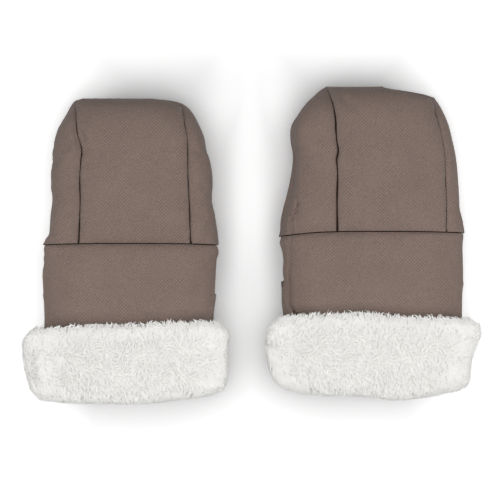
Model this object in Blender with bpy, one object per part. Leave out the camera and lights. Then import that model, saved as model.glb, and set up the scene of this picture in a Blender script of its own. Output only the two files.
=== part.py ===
"""Pair of fleece lined hand muffs for a pushchair handlebar.

Each muff lies on its palm side with its mouth towards -Y. Its base is a toe box and a
palm wall. Its front flap lifts about the cross seam, so that the bar can be laid in the
two side notches, and is held shut by snap fasteners on inner ledges.
"""

import math

import bmesh
import bpy
import numpy as np

# Places of the pair, in metres
left_centre_x = -0.1140
pair_spacing = 0.2285
left_seam_y = 0.0014
right_seam_y = 0.0128

# Lengths along a muff
toe_length = 0.1372
toe_curve_length = 0.0400
left_band_length = 0.0745
right_band_length = 0.0783
cuff_length = 0.0775

# Widths and heights
left_half_width = 0.0826
right_half_width = 0.0865
body_height = 0.0705
underside_cut = 0.0005
mouth_lift = 0.0080

# Cloth layers
shell_thickness = 0.0015
lining_thickness = 0.0095
cuff_thickness = 0.0140
cuff_turn_in = 0.0090
gap = 0.0003
side_gap = 0.0004

# Seams
seam_depth = 0.0024
seam_reach = 0.0075
hinge_rise = 0.0002
left_seam_drop = 0.0015
right_seam_drop = 0.0050
seam_drop_reach = 0.0450

# Bar notch
notch_length = 0.0480
notch_floor = 0.0160
notch_corner = 0.0080
cutter_overrun = 0.0150

# Hems, ledges and snap fasteners
hem_height_share = 0.644
hem_height = body_height * hem_height_share
hem_inset = 0.0360
ledge_width = 0.0210
ledge_thickness = 0.0016
ledge_start = 0.0040
snap_radius = 0.0060
flange_thickness = 0.0008
stud_radius = 0.0027
stud_tip_radius = 0.0019
stud_height = 0.0027
stud_clearance = 0.0005
socket_height = 0.0042
pocket_clearance = 0.0003

# Shape of the wall: power of the rounded section, and where the flap is split from it
section_power = 3.0
toe_power = 2.5
flap_split_share = 0.97
seam_limit_share = 0.97
side_draw_share = 1.4

# Outlines: share of the toe from cross seam to tip, then half widths as shares
left_toe_shares = (
    (0.0, 0.995, 0.995),
    (0.066, 0.965, 0.980),
    (0.190, 0.931, 0.954),
    (0.316, 0.910, 0.931),
    (0.483, 0.920, 0.920),
    (0.649, 0.897, 0.862),
    (0.733, 0.862, 0.828),
    (0.816, 0.816, 0.770),
    (0.899, 0.736, 0.701),
    (0.941, 0.700, 0.655),
    (0.983, 0.655, 0.600),
    (1.0, 0.625, 0.565),
)
right_toe_shares = (
    (0.0, 1.000, 1.000),
    (0.075, 0.995, 0.995),
    (0.158, 0.973, 0.962),
    (0.322, 0.918, 0.940),
    (0.528, 0.870, 0.907),
    (0.650, 0.893, 0.865),
    (0.734, 0.885, 0.830),
    (0.816, 0.808, 0.786),
    (0.857, 0.764, 0.753),
    (0.899, 0.709, 0.720),
    (0.940, 0.643, 0.654),
    (0.980, 0.566, 0.500),
    (1.0, 0.500, 0.400),
)
# Below the cross seam: share of the way to the mouth, then half widths as shares
left_lower_shares = (
    (0.0, 0.995, 0.995),
    (0.060, 1.015, 1.012),
    (0.166, 1.028, 0.990),
    (0.300, 1.018, 0.972),
    (0.370, 1.000, 0.955),
    (0.466, 0.990, 0.935),
    (1.0, 0.970, 0.900),
)
right_lower_shares = (
    (0.0, 1.000, 1.000),
    (0.060, 1.012, 1.004),
    (0.166, 1.012, 1.010),
    (0.280, 1.000, 1.010),
    (0.380, 0.985, 0.990),
    (0.490, 0.965, 0.980),
    (1.0, 0.930, 0.950),
)
# Cuff: share of the cuff from its top edge to the mouth, then half widths as shares
left_cuff_shares = (
    (0.0, 1.080, 1.060),
    (0.100, 1.150, 1.120),
    (0.300, 1.230, 1.140),
    (0.610, 1.165, 1.135),
    (0.890, 1.090, 1.070),
    (1.0, 1.030, 1.000),
)
right_cuff_shares = (
    (0.0, 1.050, 1.080),
    (0.100, 1.090, 1.150),
    (0.240, 1.140, 1.180),
    (0.510, 1.115, 1.120),
    (0.850, 1.075, 1.070),
    (1.0, 1.020, 1.000),
)
# Long seams: share of the toe from cross seam to tip, then places as half width shares
left_seam_shares = (
    (0.0, 0.602, 0.685),
    (0.29, 0.586, 0.665),
    (0.62, 0.575, 0.660),
    (0.83, 0.625, 0.635),
    (0.98, 0.655, 0.590),
    (1.0, 0.660, 0.580),
)
right_seam_shares = (
    (0.0, 0.380, 0.820),
    (0.20, 0.380, 0.830),
    (0.50, 0.373, 0.805),
    (0.68, 0.385, 0.775),
    (0.80, 0.392, 0.725),
    (0.90, 0.425, 0.715),
    (0.98, 0.495, 0.600),
    (1.0, 0.500, 0.500),
)
# Heights along the toe, from cross seam to tip: crown, then the height of the side edge
toe_height_shares = ((0.0, 1.0), (0.20, 1.03), (0.50, 1.06), (0.75, 1.04), (1.0, 0.97))
toe_middle_shares = ((0.0, 0.50), (0.60, 0.49), (1.0, 0.42))
# Heights below the cross seam, from seam to mouth
lower_height_shares = ((0.0, 1.0), (0.15, 1.02), (0.45, 1.0), (1.0, 0.99))
lift_shares = ((0.0, 0.0), (0.30, 0.0), (0.42, 0.30), (0.50, 0.70), (0.60, 1.0), (1.0, 1.0))

# Stations of the mesh
toe_turn_shares = (1.0, 0.80, 0.58, 0.36, 0.16, 0.0)
toe_row_shares = (0.68, 0.38, 0.17, 0.07, 0.02)
notch_row_shares = (0.05, 0.18, 0.50, 1.0)
band_end_shares = (0.0, 0.45, 1.0)
cuff_row_shares = (0.05, 0.15, 0.34, 0.58, 0.79, 0.93)
gusset_column_shares = (0.0, 0.30, 0.58, 0.82, 0.94, 1.0)
panel_column_shares = (0.0, 0.04, 0.13, 0.37, 0.63, 0.87, 0.96, 1.0)
front_column_shares = (0.0, 0.16, 0.38, 0.62, 0.84, 1.0)
edge_column_shares = (0.0, 0.35, 0.70, 1.0)
palm_columns = 13
# The cuff's profile: share along it, how far it swells out, how far it turns in
cuff_outer_shares = (
    (0.0, 0.42, 0.0),
    (0.05, 0.80, 0.0),
    (0.15, 0.97, 0.0),
    (0.34, 1.0, 0.0),
    (0.58, 0.99, 0.0),
    (0.79, 0.93, 0.0),
    (0.95, 0.70, 0.0),
    (0.99, 0.38, 0.0),
    (1.0, 0.0, 0.20),
    (0.985, 0.0, 1.0),
)
snap_sides = 10
notch_corner_steps = 4
smooth_angle = math.radians(40)

# Left and right muff in one form
LEFT = {
    "name": "left",
    "x": left_centre_x,
    "seam_y": left_seam_y,
    "half_width": left_half_width,
    "band": left_band_length,
    "toe_shares": left_toe_shares,
    "lower_shares": left_lower_shares,
    "cuff_shares": left_cuff_shares,
    "seam_shares": left_seam_shares,
    "drop": left_seam_drop,
    "outer_side": -1,
}
RIGHT = {
    "name": "right",
    "x": left_centre_x + pair_spacing,
    "seam_y": right_seam_y,
    "half_width": right_half_width,
    "band": right_band_length,
    "toe_shares": right_toe_shares,
    "lower_shares": right_lower_shares,
    "cuff_shares": right_cuff_shares,
    "seam_shares": right_seam_shares,
    "drop": right_seam_drop,
    "outer_side": 1,
}


def clear_scene():
    for item in list(bpy.data.objects):
        bpy.data.objects.remove(item, do_unlink=True)


def linear(channel):
    """One sRGB channel from 0 to 255 as a linear value."""
    value = channel / 255
    return value / 12.92 if value <= 0.04045 else ((value + 0.055) / 1.055) ** 2.4


def make_material(name, red, green, blue, roughness, metallic=0.0):
    material = bpy.data.materials.new(name)
    material.use_nodes = True
    shader = material.node_tree.nodes["Principled BSDF"]
    colour = (linear(red), linear(green), linear(blue), 1.0)
    shader.inputs["Base Color"].default_value = colour
    shader.inputs["Roughness"].default_value = roughness
    shader.inputs["Metallic"].default_value = metallic
    material.diffuse_color = colour
    return material


def look_up(table, share):
    """Values of a table of shares at one share, by a smooth curve through its rows."""
    data = np.array(table)
    places = data[:, 0]
    share = min(max(share, places[0]), places[-1])
    index = min(int(np.searchsorted(places, share, side="right")) - 1, len(places) - 2)
    slopes = np.gradient(data[:, 1:], places, axis=0)
    step = places[index + 1] - places[index]
    t = (share - places[index]) / step
    first, last = data[index, 1:], data[index + 1, 1:]
    bend_in, bend_out = slopes[index] * step, slopes[index + 1] * step
    return (
        (2 * t**3 - 3 * t**2 + 1) * first
        + (t**3 - 2 * t**2 + t) * bend_in
        + (3 * t**2 - 2 * t**3) * last
        + (t**3 - t**2) * bend_out
    )


def rounded_direction(angle, power):
    """Point of a unit rounded square in one direction."""
    across, upward = math.cos(angle), math.sin(angle)
    reach = (abs(across) ** power + abs(upward) ** power) ** (1 / power)
    return across / reach, upward / reach


def angle_across(share):
    """Direction whose point on the upper half section lies at a share of the half width."""
    upward = (1 - abs(share) ** section_power) ** (1 / section_power)
    return math.atan2(upward, share)


def half_widths(muff, y):
    """Half widths of the body on the -X and +X side at one place."""
    if y >= muff["seam_y"]:
        table = muff["toe_shares"]
        share = (y - muff["seam_y"]) / toe_length
    else:
        table = muff["lower_shares"]
        share = (muff["seam_y"] - y) / (muff["band"] + cuff_length)
    return look_up(table, share) * muff["half_width"]


def section_heights(muff, y):
    """Lowest, middle and highest Z of the body's section at one place."""
    if y >= muff["seam_y"]:
        share = (y - muff["seam_y"]) / toe_length
        top = look_up(toe_height_shares, share)[0] * body_height
        return -underside_cut, look_up(toe_middle_shares, share)[0] * top, top
    share = (muff["seam_y"] - y) / (muff["band"] + cuff_length)
    top = look_up(lower_height_shares, share)[0] * body_height
    lift = max(look_up(lift_shares, share)[0], 0) * mouth_lift
    return lift - underside_cut, (lift + top) / 2, top


def make_row(muff, y, plan_y, run_out, closing):
    low, middle, top = section_heights(muff, y)
    left, right = half_widths(muff, plan_y)
    return {
        "y": plan_y,
        "left": left,
        "right": right,
        "middle": middle,
        "up": top - middle,
        "down": middle - low,
        "run_out": run_out,
        "closing": closing,
    }


def toe_rows(muff):
    """Stations from the tip to the cross seam."""
    start = muff["seam_y"] + toe_length - toe_curve_length
    rows = []
    for turn in toe_turn_shares:
        closing, run_out = rounded_direction(turn * math.pi / 2, toe_power)
        closing = 0.0 if turn == 1.0 else closing
        plan_y = start + toe_curve_length * run_out
        rows.append(make_row(muff, plan_y, plan_y, run_out, closing))
    straight = toe_length - toe_curve_length
    for share in toe_row_shares:
        plan_y = muff["seam_y"] + straight * share
        rows.append(make_row(muff, plan_y, plan_y, 0.0, 1.0))
    rows.append(make_row(muff, muff["seam_y"], muff["seam_y"] + gap / 2, 0.0, 1.0))
    return rows


def mouth_y(muff):
    return muff["seam_y"] - muff["band"] - cuff_length * cuff_row_shares[-1]


def lower_rows(muff):
    """Stations from the cross seam to the mouth."""
    start = muff["seam_y"] - gap / 2
    rows = [make_row(muff, start, start, 0.0, 1.0)]
    for share in notch_row_shares:
        plan_y = muff["seam_y"] - notch_length * share
        rows.append(make_row(muff, plan_y, plan_y, 0.0, 1.0))
    ledge_y = muff["seam_y"] - notch_length - ledge_start
    for plan_y in spread(ledge_y, muff["seam_y"] - muff["band"], band_end_shares):
        rows.append(make_row(muff, plan_y, plan_y, 0.0, 1.0))
    for share in cuff_row_shares:
        plan_y = muff["seam_y"] - muff["band"] - cuff_length * share
        rows.append(make_row(muff, plan_y, plan_y, 0.0, 1.0))
    return rows


def seam_places(muff, row):
    """Places of the two long seams, as shares of the half widths of one station."""
    share = (row["y"] - muff["seam_y"]) / toe_length
    left, right = look_up(muff["seam_shares"], share) * muff["half_width"]
    return (
        min(left / row["left"], seam_limit_share),
        min(right / row["right"], seam_limit_share),
    )


def seam_draw(muff, row, across, upward, x):
    """How far the seams draw the wall in at one point."""
    cross = math.exp(-(((row["y"] - muff["seam_y"]) / seam_reach) ** 2))
    cross *= min(1.0, abs(upward) * side_draw_share)
    along = 0.0
    if upward > 0 and row["y"] >= muff["seam_y"]:
        left, right = seam_places(muff, row)
        for place_x in (-left * row["left"], right * row["right"]):
            along = max(along, math.exp(-(((x - place_x) / seam_reach) ** 2)))
    return seam_depth * max(cross, along * row["closing"])


def seam_sag(muff, row, x):
    """How far the ends of the cross seam drop towards the mouth."""
    near = max(0.0, 1 - abs(row["y"] - muff["seam_y"]) / seam_drop_reach)
    drop = muff["drop"] if x < muff["x"] else left_seam_drop
    return drop * abs((x - muff["x"]) / row["left"]) ** 3 * near**2


def place(muff, row, angle, depth, split=0):
    """Point of the wall: station, direction round the section and depth inwards."""
    across, upward = rounded_direction(angle, section_power)
    wide = row["right"] if across > 0 else row["left"]
    tall = row["up"] if upward > 0 else row["down"]
    soft_end = shell_thickness + gap + lining_thickness
    soft = min(1.0, (soft_end - depth) / lining_thickness)
    inwards = depth + seam_draw(muff, row, across, upward, wide * across) * max(soft, 0.0)
    half_gap = abs(split) * gap / 2
    half = max((tall - inwards) * row["closing"] - half_gap, 0.0)
    z = row["middle"] + split * gap / 2 + half * upward
    x = muff["x"] + (wide - inwards) * across
    y = row["y"] - inwards * row["run_out"] - seam_sag(muff, row, x)
    return x, y, max(z, max(depth, 0.0))


def nudged(muff, row, angle, distance):
    """The direction a small distance further round the outside of a section."""
    step = math.radians(1)
    here = np.array(place(muff, row, angle, 0.0))
    there = np.array(place(muff, row, angle + step, 0.0))
    flat = np.linalg.norm(here - there)
    return angle + step * distance / max(flat, gap)


def spread(first, last, shares):
    return [first + (last - first) * share for share in shares]


def long_seam_angles(muff, row):
    left, right = seam_places(muff, row)
    return angle_across(right), angle_across(-left)


def panel_angles(muff, row):
    """Directions of the centre panel's columns, from +X to -X."""
    right, left = long_seam_angles(muff, row)
    angles = spread(right, left, panel_column_shares)
    angles[0] = nudged(muff, row, right, gap / 2)
    angles[-1] = nudged(muff, row, left, -gap / 2)
    return angles


def right_gusset_angles(muff, row):
    right, left = long_seam_angles(muff, row)
    angles = spread(0.0, right, gusset_column_shares)
    angles[-1] = nudged(muff, row, right, -gap / 2)
    return angles


def left_gusset_angles(muff, row):
    right, left = long_seam_angles(muff, row)
    shares = [1 - share for share in reversed(gusset_column_shares)]
    angles = spread(left, math.pi, shares)
    angles[0] = nudged(muff, row, left, gap / 2)
    return angles


def toe_top_angles(muff, row):
    """All columns of the toe's back, for the lining."""
    right, left = long_seam_angles(muff, row)
    shares = [1 - share for share in reversed(gusset_column_shares)]
    angles = spread(0.0, right, gusset_column_shares)
    angles += spread(right, left, panel_column_shares)[1:]
    return angles + spread(left, math.pi, shares)[1:]


def split_angle():
    return angle_across(flap_split_share)


def palm_angles(muff, row):
    """Columns of the palm side, which climbs to the flap's edge below the cross seam."""
    rise = 0.0
    if row["y"] < muff["seam_y"]:
        rise = split_angle()
    first = nudged(muff, row, math.pi - rise, side_gap / 2) if rise else math.pi
    last = nudged(muff, row, math.tau + rise, -side_gap / 2) if rise else math.tau
    return spread(first, last, [step / palm_columns for step in range(palm_columns + 1)])


def hem_limit(row, side):
    """Direction of the hem's inner edge on one side."""
    wide = row["right"] if side > 0 else row["left"]
    return angle_across(side * (wide - hem_inset) / wide)


def front_angles(muff, row):
    """Columns of the flap from its +X edge to its -X edge."""
    first = nudged(muff, row, split_angle(), side_gap / 2)
    last = nudged(muff, row, math.pi - split_angle(), -side_gap / 2)
    right, left = hem_limit(row, 1), hem_limit(row, -1)
    shares = [1 - share for share in reversed(edge_column_shares)]
    angles = spread(first, right, edge_column_shares)
    angles += spread(right, left, front_column_shares)[1:]
    return angles + spread(left, last, shares)[1:]


def flap_lining_angles(muff, row):
    right = nudged(muff, row, hem_limit(row, 1), side_gap / 2)
    left = nudged(muff, row, hem_limit(row, -1), -side_gap / 2)
    return spread(right, left, front_column_shares)


def grid(muff, rows, angles, depth, split=0):
    """Points of one layer: a column for each direction, a row for each station."""
    lines = [[place(muff, row, angle, depth, split) for angle in angles(muff, row)]
             for row in rows]
    return np.array(lines).transpose(1, 0, 2)


def closed_faces(columns, rows):
    """Triangles of a closed sheet between an outer and an inner grid of points."""
    faces = []
    offset = columns * rows

    def quad(a, b, c, d):
        faces.append((a, b, c))
        faces.append((a, c, d))

    for i in range(columns - 1):
        for j in range(rows - 1):
            a, b = i * rows + j, (i + 1) * rows + j
            quad(a, b, b + 1, a + 1)
            quad(a + offset, a + 1 + offset, b + 1 + offset, b + offset)
    for i in range(columns - 1):
        a, b = i * rows, (i + 1) * rows
        quad(a, a + offset, b + offset, b)
        a, b = a + rows - 1, b + rows - 1
        quad(a, b, b + offset, a + offset)
    for j in range(rows - 1):
        quad(j, j + 1, j + 1 + offset, j + offset)
        a = (columns - 1) * rows + j
        quad(a, a + offset, a + 1 + offset, a + 1)
    return faces


def add_object(name, points, faces, material, parent):
    """Mesh object whose origin is its parent's place."""
    origin = np.array(parent["pivot"])
    mesh = bpy.data.meshes.new(name)
    mesh.from_pydata([tuple(point) for point in np.array(points) - origin], [], faces)
    work = bmesh.new()
    work.from_mesh(mesh)
    bmesh.ops.recalc_face_normals(work, faces=work.faces)
    if work.calc_volume(signed=True) < 0:
        bmesh.ops.reverse_faces(work, faces=work.faces)
    work.to_mesh(mesh)
    work.free()
    mesh.materials.append(material)
    mesh.shade_smooth()
    mesh.set_sharp_from_angle(angle=smooth_angle)
    item = bpy.data.objects.new(name, mesh)
    bpy.context.collection.objects.link(item)
    item.parent = parent["empty"]
    return item


def add_sheet(name, outer, inner, material, parent):
    points = np.concatenate([outer.reshape(-1, 3), inner.reshape(-1, 3)])
    return add_object(name, points, closed_faces(*outer.shape[:2]), material, parent)


def add_layer(muff, name, rows, angles, depths, material, parent, split=0):
    outer = grid(muff, rows, angles, depths[0], split)
    inner = grid(muff, rows, angles, depths[1], split)
    return add_sheet(muff["name"] + "_" + name, outer, inner, material, parent)


def add_pivot(name, place_at, parent=None):
    """Empty that carries the pieces of one body."""
    empty = bpy.data.objects.new(name, None)
    bpy.context.collection.objects.link(empty)
    base = np.array(parent["pivot"]) if parent else np.zeros(3)
    empty.location = tuple(np.array(place_at) - base)
    if parent:
        empty.parent = parent["empty"]
    return {"empty": empty, "pivot": tuple(place_at)}


def hide_cutter(item):
    item.hide_render = True
    item.display_type = "WIRE"


def cut(item, cutter):
    modifier = item.modifiers.new("cut", "BOOLEAN")
    modifier.operation = "DIFFERENCE"
    modifier.solver = "EXACT"
    modifier.object = cutter


def side_of(muff, side):
    return "outer" if side == muff["outer_side"] else "inner"


def build_toe(muff, base, fabric, fleece):
    """Back of the toe box: centre panel, two gussets and their lining."""
    rows = toe_rows(muff)
    shell = (0.0, shell_thickness)
    lining = (shell_thickness + gap, shell_thickness + gap + lining_thickness)
    add_layer(muff, "centre_panel", rows, panel_angles, shell, fabric, base, 1)
    right_name = side_of(muff, 1) + "_gusset"
    left_name = side_of(muff, -1) + "_gusset"
    add_layer(muff, right_name, rows, right_gusset_angles, shell, fabric, base, 1)
    add_layer(muff, left_name, rows, left_gusset_angles, shell, fabric, base, 1)
    add_layer(muff, "toe_lining", rows, toe_top_angles, lining, fleece, base, 1)


def notch_cutter(muff, base):
    """Bar passage: a rounded trough across the muff, open upwards."""
    first = muff["seam_y"] - gap / 2
    last = muff["seam_y"] - notch_length
    top = body_height + cutter_overrun
    outline = [(first, top), (first, notch_floor)]
    for step in range(notch_corner_steps + 1):
        turn = math.pi / 2 * step / notch_corner_steps
        y = last + notch_corner * (1 - math.sin(turn))
        z = notch_floor + notch_corner * (1 - math.cos(turn))
        outline.append((y, z))
    outline.append((last, top))
    reach = muff["half_width"] + cutter_overrun
    points = [(muff["x"] + side * reach, y, z) for side in (-1, 1) for y, z in outline]
    count = len(outline)
    faces = [tuple(range(count)), tuple(reversed(range(count, 2 * count)))]
    for index in range(count):
        after = (index + 1) % count
        faces.append((index, index + count, after + count, after))
    cutter = add_object(muff["name"] + "_notch_cutter", points, faces, None, base)
    hide_cutter(cutter)
    return cutter


def build_palm(muff, base, fabric, fleece):
    """Underside and side walls, with the bar notch cut in both sides."""
    toe, lower = toe_rows(muff), lower_rows(muff)
    shell = (0.0, shell_thickness)
    lining = (shell_thickness + gap, shell_thickness + gap + lining_thickness)
    add_layer(muff, "palm_panel", toe, palm_angles, shell, fabric, base, -1)
    cutter = notch_cutter(muff, base)
    band = add_layer(muff, "palm_band", lower, palm_angles, shell, fabric, base)
    cut(band, cutter)
    outer = np.concatenate(
        [grid(muff, toe, palm_angles, lining[0], -1),
         grid(muff, lower, palm_angles, lining[0])], axis=1)
    inner = np.concatenate(
        [grid(muff, toe, palm_angles, lining[1], -1),
         grid(muff, lower, palm_angles, lining[1])], axis=1)
    name = muff["name"] + "_palm_lining"
    cut(add_sheet(name, outer, inner, fleece, base), cutter)


def cuff_widths(muff, share):
    return look_up(muff["cuff_shares"], share) * muff["half_width"]


def cuff_point(muff, y, angle, share, swell, depth):
    """Point of the cuff: swell 1 is its outside, swell 0 the body that it turns over."""
    row = make_row(muff, y, y, 0.0, 1.0)
    x, plan_y, z = place(muff, row, angle, depth)
    if swell == 0:
        return x, plan_y, z
    across, upward = rounded_direction(angle, section_power)
    wide = cuff_widths(muff, share)[1 if across > 0 else 0]
    body = row["right"] if across > 0 else row["left"]
    thick = cuff_thickness if upward > 0 else row["middle"] - row["down"]
    x = muff["x"] + (body + (wide - body) * swell) * across
    tall = (row["up"] if upward > 0 else row["down"]) + thick * swell
    return x, plan_y, max(row["middle"] + tall * upward, 0.0)


def cuff_grids(muff, angles):
    """Outer and inner points of a cuff half that turns back over the mouth."""
    top = muff["seam_y"] - muff["band"]
    mouth = mouth_y(muff)
    depth_end = shell_thickness + gap + cuff_turn_in
    outer, inner = [], []
    for index, (share, swell, turn_in) in enumerate(cuff_outer_shares):
        y = top - cuff_length * share
        over = min(index, len(cuff_row_shares))
        inner_share = (0.0,) + cuff_row_shares
        inner_y = top - cuff_length * inner_share[over]
        depth = -gap
        if index >= len(cuff_row_shares):
            inner_y = mouth - gap
            depth = -gap + (depth_end + gap) * (index - len(cuff_row_shares)) / (
                len(cuff_outer_shares) - 1 - len(cuff_row_shares))
        row = make_row(muff, inner_y, inner_y, 0.0, 1.0)
        directions = angles(muff, row)
        outer.append([cuff_point(muff, y, angle, share, swell, depth_end * turn_in)
                      for angle in directions])
        inner.append([place(muff, row, angle, depth) for angle in directions])
    return np.array(outer).transpose(1, 0, 2), np.array(inner).transpose(1, 0, 2)


def build_cuff(muff, name, angles, fleece, parent):
    outer, inner = cuff_grids(muff, angles)
    add_sheet(muff["name"] + "_" + name, outer, inner, fleece, parent)


def depth_at_height(row, angle, height):
    """Depth at which a direction reaches one height above the section's middle."""
    across, upward = rounded_direction(angle, section_power)
    return row["up"] - (height - row["middle"]) / upward


def hem_columns(muff, row, side):
    if side > 0:
        first = nudged(muff, row, split_angle(), side_gap / 2)
    else:
        first = nudged(muff, row, math.pi - split_angle(), -side_gap / 2)
    return spread(first, hem_limit(row, side), edge_column_shares)


def add_hem(muff, side, fabric, flap):
    """Thick side edge of the flap, flat underneath."""
    outer, inner = [], []
    for row in lower_rows(muff):
        angles = hem_columns(muff, row, side)
        line = [place(muff, row, angle, shell_thickness + gap) for angle in angles]
        edge = place(muff, row, angles[0], depth_at_height(row, angles[0], hem_height))
        flat = []
        for x in spread(edge[0], line[-1][0], edge_column_shares):
            flat.append((x, row["y"] - seam_sag(muff, row, x), hem_height))
        outer.append(line)
        inner.append(flat)
    outer = np.array(outer).transpose(1, 0, 2)
    inner = np.array(inner).transpose(1, 0, 2)
    name = muff["name"] + "_" + side_of(muff, side) + "_hem"
    return add_sheet(name, outer, inner, fabric, flap)


def wall_inside(muff, row, side, height):
    """Place across the muff of the lining's inner face at one height."""
    depth = shell_thickness + 2 * gap + lining_thickness
    angles = palm_angles(muff, row)
    if side > 0:
        angles.reverse()
    line = [place(muff, row, angle, depth) for angle in angles]
    for upper, lower in zip(line, line[1:]):
        if lower[2] <= height:
            share = (height - lower[2]) / (upper[2] - lower[2])
            return lower[0] + (upper[0] - lower[0]) * share
    return line[-1][0]


def ledge_top():
    return hem_height - gap - flange_thickness - gap


def ledge_rows(muff):
    """The wall's own stations between the notch and the mouth."""
    return lower_rows(muff)[1 + len(notch_row_shares):-1]


def add_ledge(muff, side, fabric, base):
    """Tape strip along the inside of a side wall, which carries the studs."""
    top = ledge_top()
    levels = []
    for height in (top, top - ledge_thickness):
        outside = []
        inside = []
        for row in ledge_rows(muff):
            near = wall_inside(muff, row, side, top)
            outside.append((wall_inside(muff, row, side, height), row["y"], height))
            inside.append((near - side * ledge_width, row["y"], height))
        levels.append(np.array([outside, inside]))
    name = muff["name"] + "_" + side_of(muff, side) + "_snap_ledge"
    add_sheet(name, levels[0], levels[1], fabric, base)


def turned(profile, sides, x, y, z):
    """Points and faces of a profile of radius and height turned about a vertical axis."""
    points = []
    faces = []
    for radius, height in profile:
        for step in range(sides):
            turn = math.tau * step / sides
            points.append((x + radius * math.cos(turn), y + radius * math.sin(turn), z + height))
    for ring in range(len(profile) - 1):
        for step in range(sides):
            a, b = ring * sides + step, ring * sides + (step + 1) % sides
            faces.append((a, b, b + sides, a + sides))
    faces.append(tuple(reversed(range(sides))))
    faces.append(tuple(range((len(profile) - 1) * sides, len(profile) * sides)))
    return points, faces


def snap_places(muff, side):
    """Centres of the two snap fasteners on one side."""
    rows = ledge_rows(muff)
    margin = snap_radius + ledge_start
    places = []
    for y in (rows[0]["y"] - margin, rows[-1]["y"] + margin):
        row = make_row(muff, y, y, 0.0, 1.0)
        inside = wall_inside(muff, row, side, ledge_top())
        places.append((inside - side * ledge_width / 2, y))
    return places


def add_stud(name, x, y, metal, base):
    bottom = ledge_top() + gap
    top = flange_thickness + stud_height
    profile = ((snap_radius, 0), (snap_radius, flange_thickness), (stud_radius, flange_thickness),
               (stud_tip_radius, top))
    points, faces = turned(profile, snap_sides, x, y, bottom)
    add_object(name, points, faces, metal, base)


def add_socket(name, x, y, metal, flap):
    bore = stud_radius + stud_clearance
    depth = stud_height + stud_clearance
    profile = ((bore, depth), (bore, 0), (snap_radius, 0), (snap_radius, socket_height))
    points, faces = turned(profile, snap_sides, x, y, hem_height)
    add_object(name, points, faces, metal, flap)


def socket_cutter(muff, side, flap):
    """Two round pockets for the sockets in the underside of a hem."""
    points, faces = [], []
    radius = snap_radius + pocket_clearance
    profile = ((radius, -cutter_overrun), (radius, socket_height + pocket_clearance))
    for x, y in snap_places(muff, side):
        more, sides = turned(profile, snap_sides, x, y, hem_height)
        start = len(points)
        points += more
        faces += [tuple(index + start for index in face) for face in sides]
    name = muff["name"] + "_" + side_of(muff, side) + "_socket_cutter"
    cutter = add_object(name, points, faces, None, flap)
    hide_cutter(cutter)
    return cutter


def build_fastening(muff, base, flap, tape, metal):
    """Hems, ledges, studs and sockets on both sides."""
    for side in (-1, 1):
        cut(add_hem(muff, side, tape, flap), socket_cutter(muff, side, flap))
        add_ledge(muff, side, tape, base)
        stem = muff["name"] + "_" + side_of(muff, side)
        for number, (x, y) in enumerate(snap_places(muff, side), 1):
            add_stud(stem + "_stud_" + str(number), x, y, metal, base)
            add_socket(stem + "_socket_" + str(number), x, y, metal, flap)


def build_flap(muff, flap, fabric, fleece):
    """Front band and its lining."""
    rows = lower_rows(muff)
    shell = (0.0, shell_thickness)
    lining = (shell_thickness + gap, shell_thickness + gap + lining_thickness)
    add_layer(muff, "front_band", rows, front_angles, shell, fabric, flap)
    add_layer(muff, "flap_lining", rows, flap_lining_angles, lining, fleece, flap)


def hinge_height(muff):
    """Top of the drawn in cross seam, just above the cloth."""
    row = make_row(muff, muff["seam_y"], muff["seam_y"], 0.0, 1.0)
    return place(muff, row, math.pi / 2, 0.0)[2] + hinge_rise


def build_muff(muff, materials):
    base_at = (muff["x"], muff["seam_y"], 0.0)
    hinge_at = (muff["x"], muff["seam_y"], hinge_height(muff))
    base = add_pivot(muff["name"] + "_muff", base_at)
    flap = add_pivot(muff["name"] + "_flap", hinge_at, base)
    build_toe(muff, base, materials["fabric"], materials["fleece"])
    build_palm(muff, base, materials["fabric"], materials["fleece"])
    build_cuff(muff, "palm_cuff", palm_angles, materials["fleece"], base)
    build_flap(muff, flap, materials["fabric"], materials["fleece"])
    build_cuff(muff, "front_cuff", front_angles, materials["fleece"], flap)
    build_fastening(muff, base, flap, materials["tape"], materials["metal"])


def make_materials():
    return {
        "fabric": make_material("softshell", 127, 112, 105, 0.85),
        "fleece": make_material("fleece", 232, 230, 227, 0.95),
        "tape": make_material("tape", 96, 84, 78, 0.8),
        "metal": make_material("snap_metal", 150, 146, 140, 0.35, 1.0),
    }


def main():
    clear_scene()
    materials = make_materials()
    build_muff(LEFT, materials)
    build_muff(RIGHT, materials)


main()
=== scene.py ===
# %% [markdown]
# # A pair of hand muffs for a pushchair handlebar
#
# Two padded muffs of taupe softshell, each with a thick white fleece cuff turned back over its mouth, lie on a white
# table. The imported CAD model gives the exact places and the moving bodies. This file dresses it: every soft solid is
# replaced by cloth with real thickness, drawn-in seams and a pile of separate hairs, and most pieces are hung on the
# body that carries them; the front band, the flap lining with its pile and the hems are not.

# %% Load the imported model
import math

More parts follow.
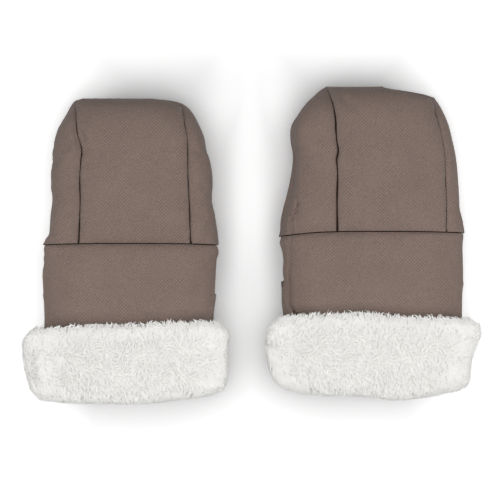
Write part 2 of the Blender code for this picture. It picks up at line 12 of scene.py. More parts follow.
import bmesh
import bpy
import numpy as np
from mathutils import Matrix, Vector


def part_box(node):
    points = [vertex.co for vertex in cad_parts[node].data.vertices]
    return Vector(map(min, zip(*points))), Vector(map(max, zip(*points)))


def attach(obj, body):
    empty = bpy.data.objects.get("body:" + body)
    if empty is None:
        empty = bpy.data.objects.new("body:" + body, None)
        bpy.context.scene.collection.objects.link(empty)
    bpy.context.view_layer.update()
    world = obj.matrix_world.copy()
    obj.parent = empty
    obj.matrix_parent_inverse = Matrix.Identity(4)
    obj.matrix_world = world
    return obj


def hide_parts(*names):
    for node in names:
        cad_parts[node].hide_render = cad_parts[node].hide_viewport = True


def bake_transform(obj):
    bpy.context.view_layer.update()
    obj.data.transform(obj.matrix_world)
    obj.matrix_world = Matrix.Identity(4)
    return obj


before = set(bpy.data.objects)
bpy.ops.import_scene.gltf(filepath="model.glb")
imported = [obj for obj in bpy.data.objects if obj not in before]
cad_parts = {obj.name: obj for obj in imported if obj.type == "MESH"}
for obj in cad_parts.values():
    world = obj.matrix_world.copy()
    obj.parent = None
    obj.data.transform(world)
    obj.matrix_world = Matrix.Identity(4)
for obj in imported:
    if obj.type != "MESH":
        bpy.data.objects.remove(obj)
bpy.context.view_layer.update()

# %% [markdown]
# ## Camera
#
# The picture looks straight down on the pair. A long lens from far above keeps the two muffs free of perspective. The
# picture is 500 pixels wide and one pixel covers 0.95 mm of the table, so the lens follows from the height.

# %% Camera above the table
PIXEL = 0.00095
PICTURE_SIDE = 500
ZERO_COLUMN, ZERO_ROW = 250.95, 245
PICTURE_MIDDLE = (-0.0009, -0.0048)
CAMERA_HEIGHT = 5.0
MIDDLE_HEIGHT = 0.035

camera_data = bpy.data.cameras.new("camera")
camera_data.sensor_width = 36
camera_data.lens = camera_data.sensor_width * (CAMERA_HEIGHT - MIDDLE_HEIGHT) / (PICTURE_SIDE * PIXEL)
camera = bpy.data.objects.new("camera", camera_data)
camera.location = (*PICTURE_MIDDLE, CAMERA_HEIGHT)
bpy.context.scene.collection.objects.link(camera)
bpy.context.scene.camera = camera
print("lens in mm:", round(camera_data.lens))

# %% [markdown]
# ## Small helpers for node trees
#
# Materials below are built from many small nodes. These helpers add a node, set its options and either link or set
# each input, which keeps the recipes short enough to read as recipes.

# %% Node helpers
def feed(tree, socket, value):
    """Links a socket to the one that feeds it, or sets its value. None leaves it as it is."""
    if isinstance(value, bpy.types.NodeSocket):
        tree.links.new(value, socket)
    elif value is not None:
        socket.default_value = value


def node(tree, kind, *inputs, **options):
    """Adds one node with its options and with what goes into its first sockets."""
    made = tree.nodes.new(kind)
    for name, value in options.items():
        setattr(made, name, value)
    for socket, value in zip(made.inputs, inputs):
        feed(tree, socket, value)
    return made


def calculate(tree, operation, *inputs):
    return node(tree, "ShaderNodeMath", *inputs, operation=operation).outputs[0]


def mixed(tree, share, first, second, blend_type="MIX"):
    """Two colours mixed. The colour sockets of a mix node are its seventh and eighth."""
    made = node(tree, "ShaderNodeMix", share, data_type="RGBA", blend_type=blend_type)
    feed(tree, made.inputs[6], first)
    feed(tree, made.inputs[7], second)
    return made.outputs[2]


def ramp(tree, value, start, end, low, high, **options):
    return node(tree, "ShaderNodeMapRange", value, start, end, low, high, **options).outputs[0]


def noise(tree, places, scale, detail):
    return node(tree, "ShaderNodeTexNoise", places, None, scale, detail).outputs[0]


def linear(red, green, blue):
    """A colour written as 0 to 255 turned into the linear values that nodes use."""
    def channel(value):
        value /= 255
        return value / 12.92 if value <= 0.04045 else ((value + 0.055) / 1.055) ** 2.4
    return (channel(red), channel(green), channel(blue), 1.0)

# %% [markdown]
# ## White table and soft light
#
# The table is a plain white plane that keeps the muffs' soft shadows. To the camera it also glows, as a light table
# does, so that it is pure white where no shadow falls. A wide soft box overhead gives most of the light, and a small
# one low on each outer side leaves the shadows above each muff and on its inner side. The world fills the rest.

# %% Table, world and soft boxes
FLOOR_GLOW = 0.03
# Each glow of the table: where it starts, where it is full, and how strong it is there. Two of them have a length too,
# the share of the glow that is left along Y
GLOWS = {"rim": (0.112, 0.200, 0.40), "front": (0.105, 0.160, 0.16), "back": (0.150, 0.195, 0.17),
         "middle": (0.027, 0.003, 0.19), "middle_length": (-0.095, 0.050, 1.0),
         "upper": (0.058, 0.018, 0.17), "upper_length": (0.085, 0.145, 1.0), "far": (0.34, 0.60, 0.60)}
MIDDLE_LINE = 0.001
BOUNCE = 0.62
TABLE_WHITE = 0.95
WORLD_LEVEL = 0.22
TABLE_HALF = 6
TABLE_DROP = 0.0004
WHITE = (1, 1, 1, 1)
AIM_HEIGHT = 0.03
CAMERA_RAY = "Is Camera Ray"

floor_mesh = bpy.data.meshes.new("table_top")
corners = ((-1, -1), (1, -1), (1, 1), (-1, 1))
floor_mesh.from_pydata([(x * TABLE_HALF, y * TABLE_HALF, -TABLE_DROP) for x, y in corners], [], [(0, 1, 2, 3)])
floor = bpy.data.objects.new("table_top", floor_mesh)
bpy.context.scene.collection.objects.link(floor)

floor_material = bpy.data.materials.new("white_table")
floor_material.use_nodes = True
tree = floor_material.node_tree
shader = tree.nodes["Principled BSDF"]
shader.inputs["Roughness"].default_value = 0.9
shader.inputs["Specular IOR Level"].default_value = 0.1
shader.inputs["Emission Color"].default_value = WHITE
path = node(tree, "ShaderNodeLightPath")
spot = node(tree, "ShaderNodeTexCoord").outputs["Object"]
places = node(tree, "ShaderNodeSeparateXYZ", spot).outputs


def glow_of(name, distance):
    start, end, amount = GLOWS[name]
    return ramp(tree, distance, start, end, 0.0, amount, interpolation_type="SMOOTHSTEP")


# Painted light: to the camera the table glows, as a light table would, more in some places than in others, so that the
# shadows are deep close to the muffs alone
off_middle = calculate(tree, "ABSOLUTE", calculate(tree, "ADD", places["X"], MIDDLE_LINE))
glow = glow_of("rim", calculate(tree, "ABSOLUTE", places["X"]))
for other in (glow_of("front", calculate(tree, "MULTIPLY", places["Y"], -1.0)), glow_of("back", places["Y"]),
              calculate(tree, "MULTIPLY", glow_of("middle", off_middle), glow_of("middle_length", places["Y"])),
              calculate(tree, "MULTIPLY", glow_of("upper", off_middle), glow_of("upper_length", places["Y"])),
              glow_of("far", node(tree, "ShaderNodeVectorMath", spot, operation="LENGTH").outputs["Value"])):
    glow = calculate(tree, "MAXIMUM", glow, other)
glow = calculate(tree, "ADD", glow, FLOOR_GLOW)
# Light that bounces off the table is weaker than the table looks, so that the muffs' inner sides stay dark
seen = mixed(tree, path.outputs[CAMERA_RAY], (BOUNCE,) * 3 + (1,), (TABLE_WHITE,) * 3 + (1,))
tree.links.new(seen, shader.inputs["Base Color"])
tree.links.new(calculate(tree, "MULTIPLY", path.outputs[CAMERA_RAY], glow), shader.inputs["Emission Strength"])
floor_mesh.materials.append(floor_material)

world = bpy.data.worlds.new("white_room")
world.use_nodes = True
bpy.context.scene.world = world
tree = world.node_tree
path = node(tree, "ShaderNodeLightPath")
seen = calculate(tree, "MAXIMUM", path.outputs[CAMERA_RAY], path.outputs["Is Glossy Ray"])
seen = calculate(tree, "MAXIMUM", seen, path.outputs["Is Transmission Ray"])
tree.links.new(ramp(tree, seen, 0.0, 1.0, WORLD_LEVEL, 1.0), tree.nodes["Background"].inputs["Strength"])
tree.nodes["Background"].inputs["Color"].default_value = WHITE


def soft_box(name, place, aim, size, watts):
    data = bpy.data.lights.new(name, "AREA")
    data.shape, data.size, data.energy = "DISK", size, watts
    item = bpy.data.objects.new(name, data)
    item.location = place
    item.rotation_euler = (Vector(aim) - Vector(place)).to_track_quat("-Z", "Y").to_euler()
    item.visible_camera = False
    bpy.context.scene.collection.objects.link(item)


soft_box("overhead_soft_box", (0.0, -0.06, 1.10), (0.0, -0.02, AIM_HEIGHT), 1.10, 9.6)
soft_box("left_soft_box", (-0.75, -0.06, 0.30), (-0.12, -0.02, AIM_HEIGHT), 0.30, 0.85)
soft_box("right_soft_box", (0.75, -0.06, 0.30), (0.12, -0.02, AIM_HEIGHT), 0.30, 1.05)
bpy.context.scene.view_settings.view_transform = "Standard"
print("lights:", len(bpy.data.lights))

# %% [markdown]
# ## The outline of each muff
#
# A muff is a soft box that is described by cross sections. Each section is a rounded rectangle, and tables give its
# half widths along the toe, along the band and along the cuff, as shares of one width. The long seams and the edges
# of the cuff have tables too. Every table is read by a smooth curve, for a whole array of places at once.

# %% Tables of the two muffs
TOE_LENGTH = 0.1372
TOE_CURVE = 0.0400
CUFF_LENGTH = 0.0775
BODY_HEIGHT = 0.0705
UNDERSIDE = 0.0005
MOUTH_LIFT = 0.0080
GAP = 0.0003
SECTION_POWER = 3.0
TOE_POWER = 3.2
SPLIT_SHARE = 0.97
MOUTH_SHARE = 0.93
SEAM_DROP_REACH = 0.045
TOE_HEIGHTS = ((0.0, 1.0), (0.20, 1.03), (0.50, 1.06), (0.75, 1.04), (1.0, 0.97))
TOE_MIDDLES = ((0.0, 0.50), (0.60, 0.49), (1.0, 0.42))
LOWER_HEIGHTS = ((0.0, 1.0), (0.15, 1.02), (0.45, 1.0), (1.0, 0.99))
LIFTS = ((0.0, 0.0), (0.30, 0.0), (0.42, 0.30), (0.50, 0.70), (0.60, 1.0), (1.0, 1.0))

LEFT = {
    "name": "left", "x": -0.1140, "seam_y": 0.0014, "half": 0.0826, "band": 0.0745, "outer": -1,
    "crumple": (), "drops": (0.0015, 0.0015),
    "toe": ((0.0, 1.020, 1.012), (0.018, 0.994, 1.004), (0.030, 0.984, 1.002), (0.066, 0.944, 0.996),
            (0.120, 0.930, 0.985), (0.190, 0.921, 0.968), (0.316, 0.900, 0.928), (0.400, 0.914, 0.932),
            (0.483, 0.913, 0.926), (0.580, 0.894, 0.899), (0.649, 0.890, 0.862), (0.733, 0.866, 0.842),
            (0.816, 0.820, 0.785), (0.899, 0.738, 0.709), (0.941, 0.702, 0.648),
            (0.970, 0.674, 0.570), (0.982, 0.655, 0.500), (0.992, 0.630, 0.390), (1.0, 0.570, 0.240)),
    "lower": ((0.0, 1.008, 1.003), (0.030, 1.014, 1.022), (0.060, 1.006, 1.022), (0.090, 1.012, 1.004),
              (0.110, 1.008, 1.000), (0.166, 1.022, 0.992), (0.300, 1.017, 0.980), (0.370, 1.006, 0.970),
              (0.466, 0.998, 0.955), (1.0, 0.970, 0.900)),
    "cuff": ((0.0, 1.200, 1.075), (0.05, 1.226, 1.105), (0.107, 1.258, 1.160), (0.16, 1.285, 1.178),
             (0.30, 1.301, 1.185), (0.43, 1.293, 1.180), (0.57, 1.266, 1.170), (0.71, 1.234, 1.160),
             (0.85, 1.192, 1.142), (0.93, 1.150, 1.120), (0.975, 1.130, 1.070), (1.0, 1.11, 1.02)),
    "lines": ((-1.25, -7.5, 5.0), (-0.90, -6.3, 2.5), (-0.50, -3.9, 1.9), (0.0, -3.4, 1.4), (0.47, -1.0, 3.8),
              (0.80, -0.1, 6.7), (1.0, 0.0, 9.0), (1.13, 0.0, 10.5)),
    "seams": ((0.0, 0.616, 0.722), (0.094, 0.613, 0.716), (0.30, 0.601, 0.705), (0.47, 0.604, 0.692),
              (0.56, 0.593, 0.690), (0.645, 0.580, 0.691), (0.70, 0.606, 0.689), (0.74, 0.630, 0.685),
              (0.82, 0.653, 0.662), (0.89, 0.655, 0.643), (0.98, 0.680, 0.600), (1.0, 0.690, 0.580)),
}
RIGHT = {
    "name": "right", "x": 0.1145, "seam_y": 0.0128, "half": 0.0865, "band": 0.0783, "outer": 1,
    "crumple": (196, 222), "drops": (0.0050, 0.0015),
    "toe": ((0.0, 1.020, 1.022), (0.040, 1.000, 1.008), (0.075, 0.997, 1.000), (0.158, 0.970, 0.968),
            (0.250, 0.930, 0.958), (0.322, 0.902, 0.951), (0.528, 0.862, 0.922), (0.650, 0.890, 0.883),
            (0.734, 0.878, 0.850), (0.816, 0.796, 0.797), (0.857, 0.750, 0.763), (0.899, 0.692, 0.721),
            (0.938, 0.627, 0.655),
            (0.959, 0.595, 0.515), (0.978, 0.562, 0.340), (0.989, 0.535, 0.200), (1.0, 0.500, 0.120)),
    "lower": ((0.0, 1.022, 1.024), (0.030, 1.042, 1.022), (0.060, 1.040, 1.012), (0.100, 1.020, 1.006),
              (0.166, 1.004, 1.006), (0.250, 1.012, 1.011), (0.330, 0.992, 1.012), (0.380, 0.990, 1.004),
              (0.490, 0.974, 0.996), (1.0, 0.930, 0.950)),
    "cuff": ((0.0, 1.060, 1.140), (0.05, 1.105, 1.190), (0.096, 1.155, 1.232), (0.17, 1.200, 1.242),
             (0.26, 1.213, 1.245), (0.41, 1.226, 1.203), (0.61, 1.197, 1.143), (0.81, 1.142, 1.115),
             (0.88, 1.110, 1.105), (0.94, 1.075, 1.080), (1.0, 1.010, 1.020)),
    "lines": ((-1.18, -3.5, 8.0), (-0.95, -2.9, 5.7), (-0.65, -1.2, 2.1), (-0.24, -0.4, 1.6), (0.0, -0.3, -0.6),
              (0.32, -3.4, -2.6), (0.55, -3.9, -0.5), (0.75, -4.2, 1.9), (0.97, -4.9, 4.8), (1.19, -5.5, 7.0)),
    "seams": ((0.0, 0.395, 0.843), (0.20, 0.402, 0.852), (0.42, 0.398, 0.838), (0.50, 0.408, 0.835),
              (0.56, 0.392, 0.828), (0.62, 0.407, 0.812), (0.70, 0.417, 0.790), (0.80, 0.425, 0.745),
              (0.86, 0.446, 0.734), (0.92, 0.470, 0.715), (0.98, 0.500, 0.620), (1.0, 0.505, 0.500)),
}
MUFFS = (LEFT, RIGHT)
LINES_START, CUFF_START = 0.33, 0.49
print("muffs:", [muff["name"] for muff in MUFFS])

# %% Sections of the wall
def curve(table, share):
    """Values of a table at many shares, by a smooth curve through its rows."""
    data = np.array(table, float)
    places, values = data[:, 0], data[:, 1:]
    share = np.clip(np.asarray(share, float), places[0], places[-1])
    index = np.clip(np.searchsorted(places, share, side="right") - 1, 0, len(places) - 2)
    slopes = np.gradient(values, places, axis=0)
    step = (places[index + 1] - places[index])[..., None]
    t = (share - places[index])[..., None] / step
    return ((2 * t**3 - 3 * t**2 + 1) * values[index] + (t**3 - 2 * t**2 + t) * slopes[index] * step
            + (3 * t**2 - 2 * t**3) * values[index + 1] + (t**3 - t**2) * slopes[index + 1] * step)


def half_widths(muff, y):
    """Half widths on the -X and the +X side."""
    toe = curve(muff["toe"], (y - muff["seam_y"]) / TOE_LENGTH)
    lower = curve(muff["lower"], (muff["seam_y"] - y) / (muff["band"] + CUFF_LENGTH))
    both = np.where((y >= muff["seam_y"])[..., None], toe, lower) * muff["half"]
    return both[..., 0], both[..., 1]


def section(muff, y):
    """Lowest, middle and highest Z of the section at many places."""
    toe_share = (y - muff["seam_y"]) / TOE_LENGTH
    toe_top = curve(TOE_HEIGHTS, toe_share)[..., 0] * BODY_HEIGHT
    toe_middle = curve(TOE_MIDDLES, toe_share)[..., 0] * toe_top
    share = (muff["seam_y"] - y) / (muff["band"] + CUFF_LENGTH)
    top = curve(LOWER_HEIGHTS, share)[..., 0] * BODY_HEIGHT
    lift = np.maximum(curve(LIFTS, share)[..., 0], 0) * MOUTH_LIFT
    on_toe = y >= muff["seam_y"]
    return (np.where(on_toe, 0.0, lift) - UNDERSIDE, np.where(on_toe, toe_middle, (lift + top) / 2),
            np.where(on_toe, toe_top, top))


def rounded(angle, power):
    """Points of a unit rounded square in many directions."""
    across, upward = np.cos(angle), np.sin(angle)
    reach = (np.abs(across) ** power + np.abs(upward) ** power) ** (1 / power)
    return across / reach, upward / reach


def angle_across(share):
    """Direction whose point on the upper half section lies at a share of the half width."""
    share = np.asarray(share, float)
    return np.arctan2((1 - np.abs(share) ** SECTION_POWER) ** (1 / SECTION_POWER), share)


def sag(muff, y, x):
    """How far the two ends of the cross seam drop towards the mouth."""
    near = np.maximum(0, 1 - np.abs(y - muff["seam_y"]) / SEAM_DROP_REACH)
    drop = np.where(x < muff["x"], *muff["drops"])
    return drop * np.abs((x - muff["x"]) / muff["half"]) ** 3 * near**2


def drift(muff, x, y):
    """How far along Y the cuff lines lie off their straight place, in m. It starts in the lower half of the band."""
    lines = curve(muff["lines"], (x - muff["x"]) / muff["half"]) * 0.001
    share = (muff["seam_y"] - y) / (muff["band"] + CUFF_LENGTH)
    start = np.clip((share - LINES_START) / (CUFF_START - LINES_START), 0, 1)
    end = np.clip((share - CUFF_START) / (1 - CUFF_START), 0, 1)
    return start * start * (3 - 2 * start) * (lines[..., 0] + (lines[..., 1] - lines[..., 0]) * end)


def wall(muff, rows, angle, depth=0.0):
    """Points of the wall: rows of stations, directions round the section and depth inwards."""
    y, closing, run_out = (np.asarray(rows[key], float)[:, None] for key in ("y", "closing", "run_out"))
    low, middle, top = section(muff, y)
    left, right = half_widths(muff, y)
    across, upward = rounded(angle, SECTION_POWER)
    wide = np.where(across > 0, right, left)
    tall = np.where(upward > 0, top - middle, middle - low)
    x = muff["x"] + (wide - depth) * across
    z = middle + np.maximum((tall - depth) * closing, 0) * upward
    y_out = y - depth * run_out - sag(muff, y, x) + drift(muff, x, y)
    return np.stack([x, y_out, np.maximum(z, np.maximum(depth, 0))], axis=-1)


seam_halves = half_widths(LEFT, np.array(LEFT["seam_y"]))
print("half widths at the left seam in mm:", [round(1000 * float(half), 1) for half in seam_halves])

# %% [markdown]
# ## Stations of a panel
#
# A sewn panel needs small squares next to its seams, where the cloth dives in, and can have larger ones in between.
# The same spacing rule serves every panel. Where the cloth is crumpled, the rows lie closer.

# %% Rows and columns
EDGE_STEPS = (0.0, 0.0004, 0.0008, 0.0013, 0.0019, 0.0026, 0.0034, 0.0043, 0.0054, 0.0067, 0.0083)
OPEN_STEP = 0.0019
CRUMPLE_STEP = 0.0008
TURNED_EDGE = 0.0026
SEAM_GAP = 0.0011
CLOTH = 0.0014


def stations(length, first=True, last=True):
    """Shares of a length, close together next to a seam at its first and last end."""
    start = list(EDGE_STEPS) if first else [0.0]
    end = [length - step for step in reversed(EDGE_STEPS)] if last else [length]
    count = max(2, round((end[0] - start[-1]) / OPEN_STEP))
    middle = [start[-1] + (end[0] - start[-1]) * step / count for step in range(1, count)]
    return np.array(start + middle + end) / length


def open_rows(y):
    """Stations where the wall neither closes nor runs out at a tip."""
    return {"y": y, "closing": np.ones(len(y)), "run_out": np.zeros(len(y))}


def toe_rows(muff):
    """Stations from the tip to the cross seam."""
    turns = np.sin(np.linspace(1, 0, 24) * math.pi / 2)
    closing, run_out = rounded(turns * math.pi / 2, TOE_POWER)
    closing[0] = 0
    straight = (TOE_LENGTH - TOE_CURVE) * (1 - stations(TOE_LENGTH - TOE_CURVE, first=False)[1:])
    if muff["crumple"]:
        high, low = ((ZERO_ROW - row) * PIXEL - muff["seam_y"] for row in muff["crumple"])
        fine = np.linspace(high, low, round((high - low) / CRUMPLE_STEP))
        above, below = straight[straight > high + CRUMPLE_STEP], straight[straight < low - CRUMPLE_STEP]
        straight = np.concatenate([above, fine, below])
    y = np.concatenate([TOE_LENGTH - TOE_CURVE + TOE_CURVE * run_out, straight]) + muff["seam_y"]
    rows = open_rows(np.maximum(y, muff["seam_y"] + SEAM_GAP / 2))
    rows["closing"][:len(closing)], rows["run_out"][:len(closing)] = closing, run_out
    return rows


def lower_rows(muff, length=None):
    """Stations from the cross seam to the mouth."""
    length = length or muff["band"] + CUFF_LENGTH * MOUTH_SHARE
    return open_rows(muff["seam_y"] - SEAM_GAP / 2 - (length - SEAM_GAP / 2) * stations(length, last=False))


def seam_x(muff, y):
    """Places of the two long seams."""
    toe = np.clip((y - muff["seam_y"]) / TOE_LENGTH, 0, 1)
    shares = curve(muff["seams"], toe) * muff["half"]
    left, right = half_widths(muff, y)
    return muff["x"] - np.minimum(shares[..., 0], left * 0.985), muff["x"] + np.minimum(shares[..., 1], right * 0.985)


def seam_angles(muff, y):
    left, right = half_widths(muff, y)
    left_x, right_x = seam_x(muff, y)
    return angle_across((right_x - muff["x"]) / right), angle_across((left_x - muff["x"]) / left)


def between(rows, first, last, shares):
    """Directions of the columns, row by row. A side is one direction for all rows or one for each."""
    if np.ndim(shares) == 0:
        shares = np.linspace(0, 1, shares)
    first, last = (np.broadcast_to(side, rows["y"].shape)[:, None] for side in (first, last))
    return first + (last - first) * shares


print("rows of the left toe and band:", len(toe_rows(LEFT)["y"]), len(lower_rows(LEFT)["y"]))

# %% [markdown]
# ## Seams, puckers and soft dents
#
# Nothing here is perfectly smooth. Along every seam the cloth is drawn in and puckers a little, and a few larger dents
# and folds sit where the photograph shows them. All of it is one number per point: how deep the cloth lies under the
# smooth wall. Only the grooves of the upright creases are moves straight down, so that they show from above. Folds and
# creases are placed in the plan, in pixels of the photograph that are turned into metres.

# %% Relief of the cloth
SEAM_DEPTH = 0.0036
SEAM_REACH = 0.0030
SEAM_SHOULDER = 0.0090
GATHERING = 0.86
TUCK_UNDER = 0.0062
TUCK_REACH_TOP = 0.0130
PUCKER_PLACE, PUCKER_REACH, PUCKER_LENGTH = 0.0035, 0.0045, 0.011
CROSS_PUCKERS, LONG_PUCKERS = 0.0004, 0.00045
LUMP_HEIGHT, LUMP_LENGTH = 0.0004, 0.05
TUCK_RISE = 0.02
DIP_AT_SIDES = 0.08


def in_plan(column, row):
    """Place in the plan of a pixel of the photograph."""
    return (column - ZERO_COLUMN) * PIXEL, (ZERO_ROW - row) * PIXEL


def ripple(places, length, seed):
    """Even random waves along one line, between -1 and 1."""
    rng = np.random.default_rng(seed)
    total = np.zeros(np.shape(places))
    for _ in range(6):
        total += np.sin(2 * math.pi * places / (length * rng.uniform(0.6, 1.7)) + rng.uniform(0, 6.3))
    return total / 4


def unrest(x, y, length, seed):
    """Even random waves over a surface, between about -1 and 1."""
    rng = np.random.default_rng(seed)
    total = np.zeros(np.broadcast(x, y).shape)
    for _ in range(12):
        turn, wave = rng.uniform(0, math.pi), length * rng.uniform(0.6, 1.8)
        total += np.sin(2 * math.pi * (x * math.cos(turn) + y * math.sin(turn)) / wave + rng.uniform(0, 6.3))
    return total / 6


# Each fold: picture column and row, half length and half width in pixels, turn in degrees, depth in mm
FOLDS = {
    "left": ((82.5, 137, 9, 2.6, -62, 3.0), (91, 133, 14, 5, -58, -0.8), (74, 151, 5, 6, 0, -1.1),
             (55, 241, 7, 1.3, 12, 1.8), (50, 238, 5, 2.0, 10, -1.2), (60, 246, 6, 1.4, -20, 1.2),
             (209, 232, 10, 3, 80, 0.9), (130, 220, 40, 14, 5, 0.9), (200, 130, 12, 4, -60, 0.7),
             (96, 290, 30, 9, 35, 0.6), (170, 300, 34, 10, -30, 0.7), (140, 262, 26, 7, 6, -0.6)),
    "right": ((347, 103, 11, 3.2, -38, 1.7), (352, 97, 10, 4, -30, -0.7), (330, 104, 9, 3, 62, 0.9),
              (437, 110, 7, 1.8, -70, 1.5), (441, 117, 6, 1.6, -60, -1.0), (336, 155, 7, 3, 80, 0.9),
              (295.0, 206.5, 3.6, 1.1, 62, 3.6), (292, 203, 3.5, 1.8, 35, -0.5), (293.5, 212.5, 3.0, 1.1, 25, 3.4),
              (291, 215.5, 4, 1.7, 30, -0.5), (289, 219, 4, 1.2, 40, 1.8),
              (303, 220, 26, 5, 75, -0.5), (400, 235, 40, 8, 3, -0.7), (420, 150, 30, 12, 60, 0.8),
              (310, 290, 30, 7, 75, 0.6), (380, 300, 36, 10, -20, 0.7), (430, 268, 26, 8, 20, -0.6)),
}
# Upright creases of the right muff's inner side: picture columns at both ends, rows, depth in mm, how far the side
# beyond is drawn flat in mm, and how high above the middle a crease starts in mm
CREASES = {"left": (),
           "right": ((295.9, 296.6, 222, 160, 2.4, 3.8, 0.0), (288.8, 289.9, 268, 228, 2.2, 0.5, 9.0),
                     (287.6, 286.8, 322, 276, 6.0, 0.4, 9.0))}
CREASE_HALF = 0.0009
CREASE_RISE = 0.006
GATHER_REACH = 0.004
DENT_RISE = 0.014


def folds(muff, x, y):
    """Depth of the soft dents."""
    depth = np.zeros(x.shape)
    for column, row, half_long, half_wide, turn, deep in FOLDS[muff["name"]]:
        at_x, at_y = in_plan(column, row)
        turn = math.radians(turn)
        along = (x - at_x) * math.cos(turn) + (y - at_y) * math.sin(turn)
        across = (y - at_y) * math.cos(turn) - (x - at_x) * math.sin(turn)
        depth += deep / 1000 * np.exp(-(along / half_long / PIXEL) ** 2 - (across / half_wide / PIXEL) ** 2)
    return depth


def crest_height(muff, y, x):
    """How high above the middle the wall lies at places on the -X side."""
    _, middle, top = section(muff, y)
    across = np.abs((x - muff["x"]) / half_widths(muff, y)[0])
    return (top - middle) * np.clip(1 - across**SECTION_POWER, 0, 1) ** (1 / SECTION_POWER)


def creases(muff, x, y, risen):
    """The upright creases: how far a groove drops, and the depth of the flat side beyond it."""
    groove, hollow = np.zeros(x.shape), np.zeros(x.shape)
    for first, last, low_row, high_row, sharp, flat, start in CREASES[muff["name"]]:
        (low_x, low_y), (high_x, high_y) = in_plan(first, low_row), in_plan(last, high_row)
        share = np.clip((y - low_y) / (high_y - low_y), -0.2, 1.2)
        fade = np.clip(1.2 - np.abs(share - 0.5) * 1.4, 0, 1) ** 0.5
        fade = fade * np.clip((risen - start / 1000) / CREASE_RISE, 0, 1)
        place = low_x + (high_x - low_x) * share
        climb = np.clip(risen / np.maximum(crest_height(muff, y, place), 0.001), 0, 1)
        groove += fade * sharp / 1000 * np.exp(-((place - x) / CREASE_HALF) ** 2)
        hollow += fade * flat / 1000 * np.where(x < place, (4 * climb * (1 - climb)) ** 0.7, 0)
    return groove, hollow


def dents(muff, points):
    """Depth of the folds and creases at points of the wall. The lower half of the section has none."""
    x, y, z = np.moveaxis(points, -1, 0)
    risen = z - section(muff, y)[1]
    return np.clip(risen / DENT_RISE, 0, 1) * folds(muff, x, y) + creases(muff, x, y, risen)[1]


def groove_drop(muff, points):
    """Move of points that lie in the groove of a crease: straight down, so that it shows from above."""
    x, y, z = np.moveaxis(points, -1, 0)
    groove = creases(muff, x, y, z - section(muff, y)[1])[0]
    return np.stack([0 * x, 0 * y, -groove], axis=-1)


def gathered(muff, rows, angle):
    """Columns drawn together at the creases, so that the mesh can follow them."""
    angle = np.array(angle)
    flat = wall(muff, rows, angle)
    for first, last, low_row, high_row, *_ in CREASES[muff["name"]]:
        (low_x, low_y), (high_x, high_y) = in_plan(first, low_row), in_plan(last, high_row)
        for row, line in enumerate(flat):
            share = (rows["y"][row] - low_y) / (high_y - low_y)
            weight = GATHERING * math.exp(-(max(0.0, abs(share - 0.5) - 0.6) / 0.25) ** 2)
            place = low_x + (high_x - low_x) * min(max(share, -0.2), 1.2)
            upper = line[np.sin(angle[row]) > 0.2, 0]
            inside = len(upper) >= 8 and upper.min() + GATHER_REACH < place < upper.max() - GATHER_REACH
            if weight < 0.01 or not inside:
                continue
            run = np.concatenate([[0], np.cumsum(np.linalg.norm(np.diff(line, axis=0), axis=1))])
            away = run - run[np.argmin(np.abs(line[:, 0] - place) + (np.sin(angle[row]) <= 0.2))]
            angle[row] = np.interp(run - weight * away * np.exp(-(away / GATHER_REACH) ** 2), run, angle[row])
    return angle


def seam_dip(distance):
    """The cloth's dive into a seam, with a soft shoulder beside it."""
    dive = 0.72 * np.exp(-np.abs(distance / SEAM_REACH) ** 1.3)
    return SEAM_DEPTH * (dive + 0.28 * np.exp(-(distance / SEAM_SHOULDER) ** 2))


def puckers(along, distance, height, seed):
    reach = np.exp(-(distance - PUCKER_PLACE) ** 2 / PUCKER_REACH**2)
    return height * reach * np.minimum(ripple(along, PUCKER_LENGTH, seed), 0.3)


def relief(muff, rows, points, seams, seed):
    """How deep each point of a panel lies under the smooth wall. seams holds the X places of its long seams."""
    x, y, z = np.moveaxis(points, -1, 0)
    _, middle, top = section(muff, y)
    closing = np.clip(rows["closing"], 0, 1)[:, None]
    facing_up = np.clip((z - middle) / (top - middle), 0, 1) ** 2
    # At the outline the upper panels meet the palm panel, so no seam may draw them in there
    risen = np.clip(2 * (z - middle) / np.maximum((top - middle) * closing, 0.001), 0, 1)
    depth = LUMP_HEIGHT * unrest(x, y + z, LUMP_LENGTH, seed) + dents(muff, points)
    # The band dives under the top edge of the cuff
    under = np.clip(1 - (rows["y"] - muff["seam_y"] + muff["band"]) / TUCK_REACH_TOP, 0, 1)[:, None]
    depth += TUCK_UNDER * under**2 * (3 - 2 * under) * np.clip((z - middle) / TUCK_RISE, 0, 1)
    away = np.abs(rows["y"] - muff["seam_y"])[:, None] + 0 * x
    dips = [np.zeros(x.shape), seam_dip(away) * (DIP_AT_SIDES + (1 - DIP_AT_SIDES) * facing_up)]
    depth += puckers(x, away, CROSS_PUCKERS, seed + 1)
    for place in seams:
        away = np.abs(x - place[:, None])
        fade = closing**0.7 * risen
        dips.append(seam_dip(away) * fade)
        depth += puckers(y, away, LONG_PUCKERS, seed + 2) * fade
    return depth + np.maximum.reduce(dips)


print("deepest fold in mm:", max(fold[-1] for muff_folds in FOLDS.values() for fold in muff_folds))

# %% [markdown]
# ## Cloth that settles between its seams
#
# Softshell over thick fleece swells between the seams that hold it. Each panel is run through Blender's cloth
# simulation by itself: its edges are pinned, a small inner pressure pushes it out, and a little spare cloth lets it
# wrinkle. The move of every point is capped, then added to the panel, so no Cloth modifier stays behind.

# %% Cloth simulation of one panel
SETTLE_FRAMES = 14
CLOTH_SETTINGS = {"quality": 5, "mass": 0.25, "tension_stiffness": 12, "compression_stiffness": 12,
                  "shear_stiffness": 4, "bending_stiffness": 0.4, "air_damping": 2, "vertex_group_mass": "pins",
                  "use_pressure": True}


def grid_faces(rows, columns):
    """Numbers of the points of a grid, and its square faces."""
    index = np.arange(rows * columns).reshape(rows, columns)
    corners = [index[:-1, :-1], index[1:, :-1], index[1:, 1:], index[:-1, 1:]]
    return index, np.stack(corners, axis=-1).reshape(-1, 4)


